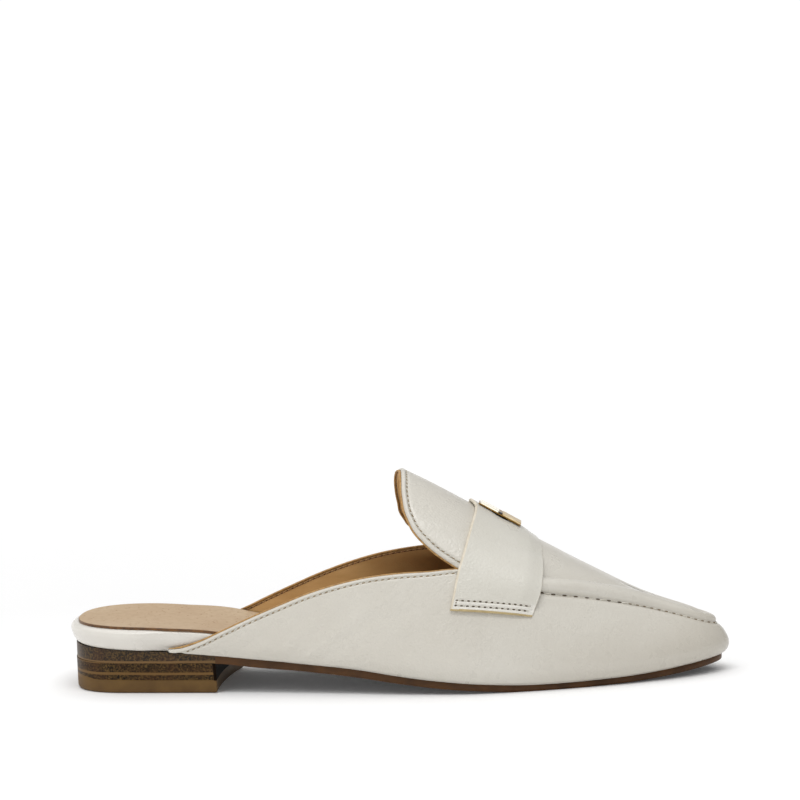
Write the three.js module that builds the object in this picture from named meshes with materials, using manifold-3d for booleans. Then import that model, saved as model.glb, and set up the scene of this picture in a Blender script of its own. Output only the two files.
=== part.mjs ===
// A right-foot loafer mule with an open back, a low stacked heel and a saddle strap.
// Millimetres, +Z up, toe towards +X, lateral (outer) side towards -Y, medial side towards +Y.
// The tables give x from the back of the footbed. The group is shifted at the end, so that the
// origin is on the floor at the middle of the heel's tread.
import * as THREE from "three";
import { mergeVertices } from "three/addons/utils/BufferGeometryUtils.js";
import Module from "manifold-3d";

const { clamp, lerp, smoothstep } = THREE.MathUtils;

// ---- driving sizes ----
const GAP = 0.3; // between neighbouring pieces
const WALL = 2.0; // upper leather and lining together
const TREAD_CENTRE_X = 31; // middle of the heel's tread
const UPPER_REAR_X = 41.5; // where the quarters start
const APEX_X = 131; // back end of the tongue, on the crest
const TOE_FAN_X = 225; // from here the sections close up towards the tip
const CREST_BEND_X = 180; // behind it a section lies square to the shoe's length
const CREST_END_X = 237; // where the crest line meets the toe box's front
const SIGN = { lateral: -1, medial: 1 };
const CORNER_X = { lateral: 154, medial: 147 }; // where topline, tongue and seam meet

// The toe is a flat superellipse from the widest point of each side to the tip.
const TOE = {
  tip: { x: 254.6, y: 3 },
  lateral: { x: 155, y: -40 },
  medial: { x: 174, y: 38.5 },
  taper: 1.3,
  roundness: 1.7,
};

// Half widths of the feather line, where upper and sole meet.
const PLAN = [
  { x: 0, lateral: 28, medial: 28 },
  { x: 25, lateral: 29, medial: 28.5 },
  { x: 50, lateral: 30, medial: 27 },
  { x: 70, lateral: 31.2, medial: 23.5 },
  { x: 90, lateral: 33.4, medial: 22 },
  { x: 110, lateral: 36.2, medial: 23.8 },
  { x: 130, lateral: 38.8, medial: 29 },
  { x: 150, lateral: 40, medial: 34.9 },
  { x: 162, lateral: 40, medial: 37.4 },
  { x: 174, lateral: 40, medial: 38.5 },
  { x: 186, lateral: 40, medial: 38.5 },
];

// Heights above the floor: the outsole's underside, its upper face and the sock's upper face.
const PROFILE = [
  { x: 0, tread: 12.2, seat: 18.2, sock: 26.8 },
  { x: 20, tread: 12.1, seat: 17.3, sock: 26.3 },
  { x: 40, tread: 12, seat: 16.2, sock: 25.5 },
  { x: 60, tread: 11.6, seat: 14.6, sock: 24.1 },
  { x: 76, tread: 9.9, seat: 13.1, sock: 20.9 },
  { x: 92, tread: 8.7, seat: 11.7, sock: 17.6 },
  { x: 115, tread: 6.3, seat: 9.3, sock: 13.3 },
  { x: 130, tread: 4.1, seat: 7, sock: 11.3 },
  { x: 145, tread: 2.2, seat: 5.1, sock: 9.7 },
  { x: 160, tread: 0.9, seat: 3.6, sock: 8.7 },
  { x: 172, tread: 0, seat: 2.7, sock: 8.2 },
  { x: 202, tread: 0, seat: 2.4, sock: 8 },
  { x: 220, tread: 0.5, seat: 3.1, sock: 8.8 },
  { x: 236, tread: 1.8, seat: 4.4, sock: 10.1 },
  { x: 256, tread: 4.2, seat: 6.8, sock: 12.3 },
];

// The last's crest line, from above the heel down to the toe box.
const CREST = [
  { x: 0, y: 0, z: 100 },
  { x: 60, y: 0, z: 98 },
  { x: 100, y: 0, z: 92 },
  { x: 131, y: 1, z: 81.4 },
  { x: 156, y: 3, z: 67.6 },
  { x: 187, y: 5, z: 49.9 },
  { x: 207, y: 5.5, z: 38.9 },
  { x: 222, y: 5, z: 31.2 },
  { x: 237, y: 4, z: 25.4 },
];

// How square the sections are (2 is an ellipse) and how far they swell above the feather line.
const SECTION = [
  { x: 0, power: 2, lateral: 1.5, medial: 1.5 },
  { x: 50, power: 2, lateral: 2, medial: 2 },
  { x: 90, power: 2, lateral: 1.8, medial: 3.2 },
  { x: 130, power: 2, lateral: 1.8, medial: 2.8 },
  { x: 170, power: 2.1, lateral: 1.9, medial: 2.2 },
  { x: 215, power: 2.1, lateral: 2.2, medial: 2.2 },
  { x: 238, power: 1.95, lateral: 2.6, medial: 2.6 },
  { x: 254.6, power: 1.88, lateral: 2.7, medial: 2.7 },
];
const SWELL_HEIGHT = 7; // height above the feather line where the swell is widest

// Height of the topline, and in front of the corners of the moccasin seam.
const TOPLINE = [
  { x: 41.5, lateral: 16.7, medial: 17 },
  { x: 46, lateral: 17.3, medial: 17.5 },
  { x: 52, lateral: 19.4, medial: 19.4 },
  { x: 62, lateral: 24, medial: 22.6 },
  { x: 74, lateral: 29.4, medial: 28.4 },
  { x: 85, lateral: 33.9, medial: 33.5 },
  { x: 96, lateral: 38.2, medial: 38.2 },
  { x: 107, lateral: 41.5, medial: 42.1 },
  { x: 118, lateral: 43.9, medial: 45.1 },
  { x: 130, lateral: 45.3, medial: 47.1 },
  { x: 142, lateral: 45.8, medial: 48 },
  { x: 154, lateral: 46.2, medial: 46.8 },
  { x: 170, lateral: 40.8, medial: 41.8 },
  { x: 184, lateral: 36.3, medial: 37 },
  { x: 198, lateral: 33.7, medial: 32.8 },
  { x: 214, lateral: 30.5, medial: 27.4 },
  { x: 229, lateral: 27, medial: 23.3 },
  { x: 242, lateral: 23.3, medial: 20.5 },
  { x: 250, lateral: 20.3, medial: 19.3 },
  { x: 254.6, lateral: 18.6, medial: 18.6 },
];

// Where the tongue's edge lies, by share of the way from the corner up to the crest.
const TONGUE_EDGE = [
  { share: 0, lateral: CORNER_X.lateral, medial: CORNER_X.medial },
  { share: 0.05, lateral: 146, medial: 135 },
  { share: 0.13, lateral: 138.8, medial: 130 },
  { share: 0.27, lateral: 134, medial: 128.3 },
  { share: 0.46, lateral: 132.1, medial: 127.8 },
  { share: 0.7, lateral: 131.6, medial: 128.7 },
  { share: 1, lateral: APEX_X, medial: APEX_X },
];

// The raised moccasin seam starts under the strap and runs round the toe.
const RIDGE = [
  { x: 174, width: 5, height: 0 },
  { x: 180, width: 5, height: 1.5 },
  { x: 186, width: 5, height: 2.2 },
  { x: 205, width: 4.8, height: 2.2 },
  { x: 222, width: 4.3, height: 2 },
  { x: 236, width: 3.9, height: 1.7 },
  { x: 246, width: 3.6, height: 1.5 },
  { x: 254.6, width: 3.4, height: 1.2 },
];
const RIDGE_ROWS = [0.25, 0.5, 0.75, 1];

// The saddle strap's two edges, by share of the way from its sewn end up to the crest.
const STRAP_REAR = [
  { share: 0, lateral: 149.7, medial: 148.8 },
  { share: 0.08, lateral: 150.8, medial: 149.8 },
  { share: 0.2, lateral: 152.3, medial: 151.2 },
  { share: 0.35, lateral: 154.6, medial: 153 },
  { share: 0.6, lateral: 157.4, medial: 155.2 },
  { share: 0.8, lateral: 158.7, medial: 156 },
  { share: 0.92, lateral: 158.5, medial: 156.4 },
  { share: 1, lateral: 157.3, medial: 157.3 },
];
const STRAP_FRONT = [
  { share: 0, lateral: 180.1, medial: 178.9 },
  { share: 0.08, lateral: 181.5, medial: 180.4 },
  { share: 0.2, lateral: 183, medial: 181.8 },
  { share: 0.35, lateral: 183.8, medial: 182.4 },
  { share: 0.6, lateral: 184.4, medial: 182.4 },
  { share: 0.8, lateral: 184.3, medial: 182 },
  { share: 0.92, lateral: 183.6, medial: 181.9 },
  { share: 1, lateral: 182.6, medial: 182.6 },
];
const STRAP = {
  thickness: 1.25,
  gap: 0.4,
  crestLift: 0.1,
  ridgeSpread: 3.6, // the strap eases over the seam's roll in a wide, low swelling
  endRise: { rear: 0.256, front: 0.309 },
};

const HEEL = {
  backX: 2.3,
  breastX: 62,
  turn: THREE.MathUtils.degToRad(4.5), // the heel's axis turns to the lateral side
  turnX: 30,
  squareness: 2.6,
  breastHollow: 1.7,
  topHalfWidth: 27.4,
  treadHalfWidth: 25.4,
  liftHeight: 5,
  liftChamfer: 0.6,
};
const SOLE_INSET = 1.2; // the outsole's edge lies inside the feather line
const FOOTBED_HALF_WIDTH = 31;
const SOCK_THICKNESS = 1;
const SOCK_MARGIN = 3; // wrapped edge that shows round the sock
const SOCK_CLEARANCE = 1.1; // between the sock and the upper's wall
const BACK_ROUND = 32; // length of the rounded back end

// The footbed's edge by share of its height: the margin inside its widest line at the open back,
// and the clearance inside the upper's wall.
const FOOTBED_ROWS = [
  { share: 0, margin: 2.6, clearance: 1.2 },
  { share: 0.3, margin: 1.2, clearance: 0.8 },
  { share: 0.62, margin: 0.1, clearance: 0.6 },
  { share: 0.85, margin: 0.2, clearance: 0.6 },
  { share: 1, margin: 1.5, clearance: 1.3 },
];

// A flat bar with a raised band across its middle, square to the crest.
const BAR = {
  centreX: 167.2,
  length: 18.5,
  width: 9,
  thickness: 1,
  bevel: 0.25,
  bandLength: 4.2,
  bandMargin: 0.4,
  bandRise: 0.4,
  clearance: 0.35,
};

const COLOURS = {
  bone: 0xdedbd1, tan: 0xcdb496, stack: 0x4b3723, lift: 0x624824, edge: 0x4b2d14, gold: 0xc9a86a,
};

// ---- curves through the tables ----

/** A smooth curve through one column of a table, as a function of another column. */
function curve(rows, column, by = "x") {
  const xs = rows.map((row) => row[by]);
  const ys = rows.map((row) => row[column]);
  const steps = xs.slice(1).map((x, i) => x - xs[i]);
  const slopes = steps.map((step, i) => (ys[i + 1] - ys[i]) / step);
  const tangents = ys.map((_, i) => {
    if (i === 0) return slopes[0];
    if (i === steps.length) return slopes[i - 1];
    return (steps[i] * slopes[i - 1] + steps[i - 1] * slopes[i]) / (steps[i - 1] + steps[i]);
  });
  return (x) => {
    const at = clamp(x, xs[0], xs.at(-1));
    const next = xs.findIndex((knot, i) => i > 0 && at <= knot);
    const i = next - 1;
    const t = (at - xs[i]) / steps[i];
    const start = (1 + 2 * t) * (1 - t) ** 2 * ys[i] + t * (1 - t) ** 2 * steps[i] * tangents[i];
    return start + t * t * (3 - 2 * t) * ys[next] + t * t * (t - 1) * steps[i] * tangents[next];
  };
}

/** The same for the lateral and the medial column of a table. */
function sideCurves(rows, by = "x") {
  return { lateral: curve(rows, "lateral", by), medial: curve(rows, "medial", by) };
}

const halfWidth = sideCurves(PLAN);
const treadZ = curve(PROFILE, "tread");
const seatZ = curve(PROFILE, "seat");
const sockZ = curve(PROFILE, "sock");
const crestY = curve(CREST, "y");
const crestZ = curve(CREST, "z");
const power = curve(SECTION, "power");
const swell = sideCurves(SECTION);
const topline = sideCurves(TOPLINE);
const tongueEdge = sideCurves(TONGUE_EDGE, "share");
const strapRear = sideCurves(STRAP_REAR, "share");
const strapFront = sideCurves(STRAP_FRONT, "share");
const ridgeWidth = curve(RIDGE, "width");
const ridgeHeight = curve(RIDGE, "height");

// ---- the last ----

/** The feather line in plan. */
function featherY(x, side) {
  const ball = TOE[side];
  if (x <= ball.x) return SIGN[side] * halfWidth[side](x);
  const u = Math.min((x - ball.x) / (TOE.tip.x - ball.x), 1);
  return TOE.tip.y + (ball.y - TOE.tip.y) * (1 - u ** TOE.taper) ** (1 / TOE.roundness);
}

/** Height of the feather line, just above the outsole. */
function featherZ(x) {
  return seatZ(x) + GAP;
}

/** The crest point of the section that starts at x on the feather line. */
function crestPoint(x) {
  let at = x;
  if (x > CREST_BEND_X) {
    const u = (x - CREST_BEND_X) / (TOE.tip.x - CREST_BEND_X);
    const start = (TOE.tip.x - CREST_BEND_X) / (CREST_END_X - CREST_BEND_X);
    at = CREST_BEND_X + (CREST_END_X - CREST_BEND_X) * (start * u + (1 - start) * u * u);
  }
  return new THREE.Vector3(at, crestY(at), crestZ(at));
}

/** A point of the last's surface: rise goes from 0 at the feather line to 1 at the crest. */
function lastPoint(x, side, rise) {
  const foot = new THREE.Vector3(x, featherY(x, side), featherZ(x));
  const reach = crestPoint(x).sub(foot);
  const shape = 2 / power(x);
  const angle = (rise * Math.PI) / 2;
  const height = reach.z * Math.max(Math.sin(angle), 0) ** shape;
  const ratio = height / SWELL_HEIGHT;
  const swollen = swell[side](x) * ratio * Math.exp(1 - ratio) * Math.cos(angle) ** 2;
  const bulge = swollen / Math.hypot(reach.x, reach.y);
  const across = 1 - Math.max(Math.cos(angle), 0) ** shape - bulge;
  return new THREE.Vector3(foot.x + reach.x * across, foot.y + reach.y * across, foot.z + height);
}

/** The rise at which a section reaches the height z. */
function riseAt(x, z) {
  const share = (z - featherZ(x)) / (crestPoint(x).z - featherZ(x));
  return (Math.asin(clamp(share, 0, 1) ** (power(x) / 2)) * 2) / Math.PI;
}

/** The outward normal of the last. Both sides agree on the crest and at the tip. */
function lastNormal(x, side, rise) {
  const dx = 0.2;
  const dr = 0.004;
  const atTip = x > TOE.tip.x - dx;
  const from = atTip || rise > 1 - dr ? "lateral" : side;
  const [x0, x1] = [Math.max(x - dx, 0), Math.min(x + dx, TOE.tip.x)];
  const [r0, r1] = [Math.max(rise - dr, 0), Math.min(rise + dr, 1)];
  const along = lastPoint(x1, from, rise).sub(lastPoint(x0, from, rise));
  const up = lastPoint(x, from, r1).sub(lastPoint(x, from, r0));
  const normal = along.cross(up).multiplyScalar(-SIGN[from]);
  if (atTip) normal.y = 0;
  return normal.normalize();
}

/** How far the moccasin seam's roll stands proud at a point; spreadBy widens the roll. */
function ridge([x, side, rise], spreadBy = 1) {
  const above = (lastPoint(x, side, rise).z - topline[side](x)) / ridgeWidth(x);
  const off = (above - 0.5) / spreadBy;
  if (Math.abs(off) >= 0.5) return 0;
  return ridgeHeight(x) * Math.cos(Math.PI * off) ** 0.8;
}

/** A point at some distance outside the last, or inside it where the distance is negative. */
function skin([x, side, rise], distance) {
  return lastPoint(x, side, rise).addScaledVector(lastNormal(x, side, rise), distance);
}

// ---- meshes from grids and rings ----

/** Whole numbers from 0 to count, as shares of the way from one value to another. */
function spread(from, to, count) {
  return Array.from({ length: count + 1 }, (_, i) => lerp(from, to, i / count));
}

/** One closed, welded body from a list of triangles. */
function solid(triangles) {
  const geometry = new THREE.BufferGeometry();
  const numbers = triangles.flatMap((corners) => corners.flatMap((corner) => corner.toArray()));
  geometry.setAttribute("position", new THREE.Float32BufferAttribute(numbers, 3));
  const welded = mergeVertices(geometry, 1e-3);
  const index = [];
  for (let i = 0; i < welded.index.count; i += 3) {
    const [a, b, c] = [0, 1, 2].map((k) => welded.index.getX(i + k));
    if (a !== b && b !== c && c !== a) index.push(a, b, c);
  }
  welded.setIndex(index);
  welded.computeVertexNormals();
  return welded;
}

function quad(a, b, c, d) {
  return [[a, b, c], [a, c, d]];
}

/** The faces of a grid of points, columns first. */
function gridFaces(grid, flip) {
  const faces = [];
  for (let i = 0; i + 1 < grid.length; i += 1) {
    for (let j = 0; j + 1 < grid[i].length; j += 1) {
      const corners = [grid[i][j], grid[i + 1][j], grid[i + 1][j + 1], grid[i][j + 1]];
      faces.push(...quad(...(flip ? corners.reverse() : corners)));
    }
  }
  return faces;
}

/** A shell between two distances from the last, over grids of surface places and their rim. */
function shell(grids, rim, outside, inside) {
  const faces = [];
  for (const { side, places } of grids) {
    const outer = places.map((column) => column.map((place) => skin(place, outside(place))));
    const inner = places.map((column) => column.map((place) => skin(place, inside(place))));
    faces.push(...gridFaces(outer, side === "medial"), ...gridFaces(inner, side === "lateral"));
  }
  rim.forEach((place, i) => {
    const next = rim[(i + 1) % rim.length];
    const [a, b] = [skin(place, outside(place)), skin(place, inside(place))];
    const [c, d] = [skin(next, inside(next)), skin(next, outside(next))];
    faces.push(...quad(a, b, c, d));
  });
  return solid(faces);
}

/** A body from rings of points stacked upwards. Each ring's two halves mirror each other's x. */
function stack(rings) {
  const faces = [];
  const count = rings[0].length;
  rings.slice(1).forEach((ring, level) => {
    ring.forEach((point, i) => {
      const next = (i + 1) % count;
      faces.push(...quad(rings[level][i], rings[level][next], ring[next], point));
    });
  });
  const [bottom, top] = [rings[0], rings.at(-1)];
  for (let i = 0; i < count / 2; i += 1) {
    const [near, nearNext] = [i, i + 1];
    const [far, farNext] = [(count - i) % count, count - i - 1];
    faces.push(...quad(top[near], top[nearNext], top[farNext], top[far]));
    faces.push(...quad(bottom[far], bottom[farNext], bottom[nearNext], bottom[near]));
  }
  return solid(faces);
}

// ---- upper: vamp, quarters, plug and tongue in one wall ----

const RING_ROWS = [0, 0.09, 0.18, 0.32, 0.52, 0.76, 1];
const PLUG_ROWS = 6;

const toeStations = spread(0, Math.PI / 2, 11)
  .slice(1)
  .map((angle) => TOE_FAN_X + (TOE.tip.x - TOE_FAN_X) * Math.sin(angle));
const crestStations = [
  ...spread(APEX_X, CORNER_X.medial, 6),
  ...spread(CORNER_X.medial, CORNER_X.lateral, 2).slice(1),
  ...spread(CORNER_X.lateral, TOE_FAN_X, 16).slice(1),
  ...toeStations,
];

/** Rises from the seam over its ridge and the plug up to the crest. */
function plugRises(x, side) {
  const seam = topline[side](x);
  const ridgeRises = RIDGE_ROWS.map((share) => riseAt(x, seam + share * ridgeWidth(x)));
  return [riseAt(x, seam), ...ridgeRises, ...spread(ridgeRises.at(-1), 1, PLUG_ROWS).slice(1)];
}

/** A column of the upper from the feather line to the topline or seam. */
function wallColumn(x, side) {
  const heights = RING_ROWS.map((share) => lerp(featherZ(x), topline[side](x), share));
  return heights.map((z) => [x, side, riseAt(x, z)]);
}

/** A column of the plug or, behind the corner, of the tongue. */
function plugColumn(x, side) {
  const corner = CORNER_X[side];
  if (x >= corner) return plugRises(x, side).map((rise) => [x, side, rise]);
  const back = (corner - x) / (corner - APEX_X);
  const rises = plugRises(corner, side);
  return rises.map((rise) => {
    const edge = tongueEdge[side]((rise - rises[0]) / (1 - rises[0]));
    return [lerp(corner, edge, back), side, rise];
  });
}

function upperHalf(side) {
  const stations = [
    ...spread(UPPER_REAR_X, CORNER_X[side], 15),
    ...crestStations.filter((x) => x > CORNER_X[side]),
  ];
  return {
    wall: stations.map((x) => wallColumn(x, side)),
    plug: crestStations.map((x) => plugColumn(x, side)),
    openColumns: 16,
  };
}

/** The free edge of one side: up the rear end, along the topline and up the tongue. */
function freeEdge({ wall, plug, openColumns }) {
  const top = wall.slice(0, openColumns).map((column) => column.at(-1));
  return [...wall[0].slice(0, -1), ...top, ...plug[0].slice(1)];
}

function makeUpper() {
  const lateral = upperHalf("lateral");
  const medial = upperHalf("medial");
  const feather = [...lateral.wall, ...medial.wall.toReversed().slice(1)].map((column) => column[0]);
  const rim = [
    ...feather,
    ...freeEdge(medial).slice(1),
    ...freeEdge(lateral).toReversed().slice(1, -1),
  ];
  const grids = [
    { side: "lateral", places: lateral.wall },
    { side: "lateral", places: lateral.plug },
    { side: "medial", places: medial.wall },
    { side: "medial", places: medial.plug },
  ];
  return shell(grids, rim, (place) => ridge(place), () => -WALL);
}

// ---- saddle strap, lying on the plug and sewn down below the seam ----

const STRAP_COLUMNS = 9;
const STRAP_ROWS = 15;

function strapColumn(across, side) {
  const endRise = lerp(STRAP.endRise.rear, STRAP.endRise.front, across);
  return spread(0, 1, STRAP_ROWS).map((share) => {
    const x = lerp(strapRear[side](share), strapFront[side](share), across);
    return [x, side, lerp(endRise, 1, share)];
  });
}

function strapInside(place) {
  const lift = STRAP.crestLift * smoothstep(place[2], 0.6, 1);
  return STRAP.gap + lift + ridge(place, STRAP.ridgeSpread);
}

function makeStrap() {
  const grids = Object.keys(SIGN).map((side) => ({
    side,
    places: spread(0, 1, STRAP_COLUMNS).map((across) => strapColumn(across, side)),
  }));
  const [lateral, medial] = grids.map((grid) => grid.places);
  const rim = [
    ...lateral.map((column) => column[0]),
    ...lateral.at(-1).slice(1),
    ...medial.at(-1).toReversed().slice(1),
    ...medial.toReversed().slice(1).map((column) => column[0]),
    ...medial[0].slice(1),
    ...lateral[0].toReversed().slice(1, -1),
  ];
  return shell(grids, rim, (place) => strapInside(place) + STRAP.thickness, strapInside);
}

// ---- flat pieces: outsole, footbed and sock lining ----

/** Stations from the rounded back end to the tip. */
function slabStations(backX) {
  const back = spread(0, Math.PI / 2, 9).map((angle) => backX + BACK_ROUND * (1 - Math.cos(angle)));
  return [...back, ...spread(backX + BACK_ROUND, TOE_FAN_X, 28).slice(1), ...toeStations];
}

/** Narrows a slab to its rounded back end. */
function backRound(x, backX) {
  const u = clamp(1 - (x - backX) / BACK_ROUND, 0, 1);
  return (1 - u ** HEEL.squareness) ** (1 / HEEL.squareness);
}

/** A closed outline in plan: lateral side from back to tip, then the medial side back again. */
function outline(backX, edge) {
  const stations = slabStations(backX);
  const lateral = stations.map((x) => edge(x, "lateral"));
  const medial = stations.slice(1, -1).map((x) => edge(x, "medial"));
  return [...lateral, ...medial.toReversed()];
}

/** The same outline moved inwards, square to its own edge. */
function inset(points, distance) {
  return points.map((point, i) => {
    const before = points.at(i - 1);
    const after = points[(i + 1) % points.length];
    const along = after.clone().sub(before).normalize();
    const by = distance(point.x);
    return new THREE.Vector2(point.x - along.y * by, point.y + along.x * by);
  });
}

/** Raises a plan outline to a surface. */
function raise(points, height) {
  return points.map((point) => new THREE.Vector3(point.x, point.y, height(point.x)));
}

function makeOutsole() {
  const plan = outline(HEEL.backX - SOLE_INSET, (x, side) => {
    const round = backRound(x, HEEL.backX - SOLE_INSET);
    return new THREE.Vector2(x, featherY(x, side) * round);
  });
  const edge = inset(plan, () => SOLE_INSET);
  const rounded = inset(plan, () => SOLE_INSET + 0.5);
  return stack([
    raise(rounded, treadZ),
    raise(edge, (x) => treadZ(x) + 0.5),
    raise(edge, seatZ),
  ]);
}

/** How far a place belongs to the inside of the upper rather than to the open heel seat. */
function insideUpper(x) {
  return smoothstep(x, 28.5, 42.5);
}

/** A place in plan, some way inside the upper's wall at a height. */
function besideWall(x, side, height, clearance) {
  const depth = -WALL - clearance;
  const first = skin([x, side, riseAt(x, height)], depth);
  const second = skin([x, side, riseAt(x, 2 * height - first.z)], depth);
  return new THREE.Vector2(second.x, second.y);
}

/** Outline of what lies on the seat at a height: a free edge behind, the wall's inside in front. */
function seatOutline(height, margin, clearance) {
  const edge = (x, side) => {
    const free = new THREE.Vector2(x, SIGN[side] * FOOTBED_HALF_WIDTH * backRound(x, 0));
    if (insideUpper(x) === 0) return free;
    return free.lerp(besideWall(x, side, height(x), clearance), insideUpper(x));
  };
  return inset(outline(0, edge), (x) => lerp(margin, 0, insideUpper(x)));
}

const footbedTop = (x) => sockZ(x) - SOCK_THICKNESS - GAP;

function makeFootbed() {
  const rings = FOOTBED_ROWS.map(({ share, margin, clearance }) => {
    const height = (x) => lerp(featherZ(x), footbedTop(x), share);
    return raise(seatOutline(height, margin, clearance), height);
  });
  return stack(rings);
}

function makeSock() {
  const bottom = (x) => sockZ(x) - SOCK_THICKNESS;
  const plan = seatOutline(sockZ, SOCK_MARGIN, SOCK_CLEARANCE);
  return stack([raise(plan, bottom), raise(plan, sockZ)]);
}

// ---- heel ----

/** A D-shaped outline with a hollow breast, turned about the heel's own centre. */
function heelOutline(half) {
  const centreX = HEEL.backX + half;
  const shape = 2 / HEEL.squareness;
  const back = spread(-Math.PI / 2, Math.PI / 2, 20).map((angle) => {
    const across = Math.sign(Math.sin(angle)) * Math.abs(Math.sin(angle)) ** shape;
    const depth = Math.max(Math.cos(angle), 0) ** shape;
    return new THREE.Vector2(centreX - half * depth, half * across);
  });
  const sides = spread(0, 1, 3).slice(1, -1).map((share) => lerp(centreX, HEEL.breastX, share));
  const breast = spread(1, -1, 8).map((across) => {
    const hollow = HEEL.breastHollow * (1 - across * across);
    return new THREE.Vector2(HEEL.breastX - hollow, half * across);
  });
  const points = [
    ...back,
    ...sides.map((x) => new THREE.Vector2(x, half)),
    ...breast,
    ...sides.toReversed().map((x) => new THREE.Vector2(x, -half)),
  ];
  const pivot = new THREE.Vector2(HEEL.turnX, 0);
  return points.map((point) => point.rotateAround(pivot, -HEEL.turn));
}

/** A body with level or sloping end faces over a simple outline that is no strip of stations. */
function prism(rings) {
  const faces = [];
  rings.slice(1).forEach((ring, level) => {
    ring.forEach((point, i) => {
      const next = (i + 1) % ring.length;
      faces.push(...quad(point, ring[next], rings[level][next], rings[level][i]));
    });
  });
  const cap = (ring, flip) => THREE.ShapeUtils.triangulateShape(ring, []).map((corners) => {
    const points = corners.map((i) => ring[i]);
    return flip ? points.reverse() : points;
  });
  faces.push(...cap(rings[0], true), ...cap(rings.at(-1), false));
  return solid(faces);
}

function heelWidth(z) {
  return lerp(HEEL.treadHalfWidth, HEEL.topHalfWidth, z / PROFILE[0].tread);
}

function makeHeelBlock() {
  const bottomZ = HEEL.liftHeight + GAP;
  const middleZ = (bottomZ + PROFILE[3].tread) / 2;
  return prism([
    raise(heelOutline(heelWidth(bottomZ)), () => bottomZ),
    raise(heelOutline(heelWidth(middleZ)), () => middleZ),
    raise(heelOutline(HEEL.topHalfWidth), (x) => treadZ(x) - GAP),
  ]);
}

function makeTopLift() {
  const { liftHeight, liftChamfer } = HEEL;
  return prism([
    raise(heelOutline(heelWidth(0) - liftChamfer), () => 0),
    raise(heelOutline(heelWidth(liftChamfer)), () => liftChamfer),
    raise(heelOutline(heelWidth(liftHeight)), () => liftHeight),
  ]);
}

// ---- ornament: a plain bar with a centre band ----

const wasm = await Module();
wasm.setup();

/** A closed geometry as a boolean solid. */
function toManifold(geometry) {
  geometry.deleteAttribute("normal");
  geometry.deleteAttribute("uv");
  const welded = mergeVertices(geometry.index ? geometry : geometry.clone());
  return new wasm.Manifold(new wasm.Mesh({
    numProp: 3,
    vertProperties: new Float32Array(welded.attributes.position.array),
    triVerts: new Uint32Array(welded.index.array),
  }));
}

function fromManifold(manifold) {
  const { vertProperties, triVerts } = manifold.getMesh();
  const geometry = new THREE.BufferGeometry();
  geometry.setAttribute("position", new THREE.BufferAttribute(vertProperties, 3));
  geometry.setIndex(new THREE.BufferAttribute(triVerts, 1));
  geometry.computeVertexNormals();
  return geometry;
}

/** A plate with bevelled edges, lying in the XY plane on z = 0. */
function bevelledPlate(length, width, thickness) {
  const { bevel } = BAR;
  const [halfLength, halfAcross] = [length / 2 - bevel, width / 2 - bevel];
  const shape = new THREE.Shape([
    new THREE.Vector2(-halfLength, -halfAcross),
    new THREE.Vector2(halfLength, -halfAcross),
    new THREE.Vector2(halfLength, halfAcross),
    new THREE.Vector2(-halfLength, halfAcross),
  ]);
  const depth = thickness - 2 * bevel;
  const options = { depth, bevelThickness: bevel, bevelSize: bevel, bevelSegments: 1 };
  return new THREE.ExtrudeGeometry(shape, options).translate(0, 0, bevel);
}

function makeBar() {
  const { length, width, thickness, bandLength, bandMargin, bandRise } = BAR;
  const plate = toManifold(bevelledPlate(length, width, thickness));
  const band = toManifold(bevelledPlate(bandLength, width + 2 * bandMargin, thickness + bandRise));
  return fromManifold(plate.add(band));
}

/** Places the bar just above the strap, square to the crest. */
function placeBar(mesh) {
  const place = [BAR.centreX, "lateral", 1];
  const normal = lastNormal(...place);
  const distance = strapInside(place) + STRAP.thickness + BAR.clearance;
  mesh.position.copy(skin(place, distance));
  mesh.rotation.y = Math.atan2(normal.x, normal.z);
}

// ---- the shoe ----

function piece(name, geometry, color, roughness, metalness = 0) {
  const material = new THREE.MeshStandardMaterial({ color, roughness, metalness });
  const mesh = new THREE.Mesh(geometry, material);
  mesh.name = name;
  return mesh;
}

const bar = piece("ornament_bar", makeBar(), COLOURS.gold, 0.25, 1);
placeBar(bar);

const shoe = new THREE.Group();
shoe.add(
  piece("upper", makeUpper(), COLOURS.bone, 0.5),
  piece("saddle_strap", makeStrap(), COLOURS.bone, 0.5),
  bar,
  piece("footbed", makeFootbed(), COLOURS.bone, 0.5),
  piece("sock_lining", makeSock(), COLOURS.tan, 0.6),
  piece("outsole", makeOutsole(), COLOURS.edge, 0.45),
  piece("heel_block", makeHeelBlock(), COLOURS.stack, 0.5),
  piece("top_lift", makeTopLift(), COLOURS.lift, 0.6),
);
shoe.position.x = -TREAD_CENTRE_X;

export default shoe;
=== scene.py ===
# A right-foot loafer mule: the fine surfaces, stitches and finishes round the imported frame.
# Tables and offsets are in millimetres from the back of the footbed; meshes are in metres.
import math

import bmesh
import bpy
import numpy as np
from mathutils import Matrix, Vector


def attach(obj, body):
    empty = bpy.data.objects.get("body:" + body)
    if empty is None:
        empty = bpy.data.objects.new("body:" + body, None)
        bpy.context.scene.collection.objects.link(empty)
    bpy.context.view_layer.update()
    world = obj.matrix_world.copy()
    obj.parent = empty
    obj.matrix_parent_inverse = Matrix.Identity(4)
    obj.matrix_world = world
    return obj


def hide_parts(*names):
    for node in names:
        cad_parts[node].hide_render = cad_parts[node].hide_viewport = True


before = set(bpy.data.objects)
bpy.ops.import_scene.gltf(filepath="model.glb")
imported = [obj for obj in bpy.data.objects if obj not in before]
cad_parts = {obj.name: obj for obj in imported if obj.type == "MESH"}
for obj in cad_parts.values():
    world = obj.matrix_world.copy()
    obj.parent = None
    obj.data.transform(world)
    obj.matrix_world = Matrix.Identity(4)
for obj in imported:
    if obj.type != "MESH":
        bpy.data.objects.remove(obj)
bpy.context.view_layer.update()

MM = 0.001

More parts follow.
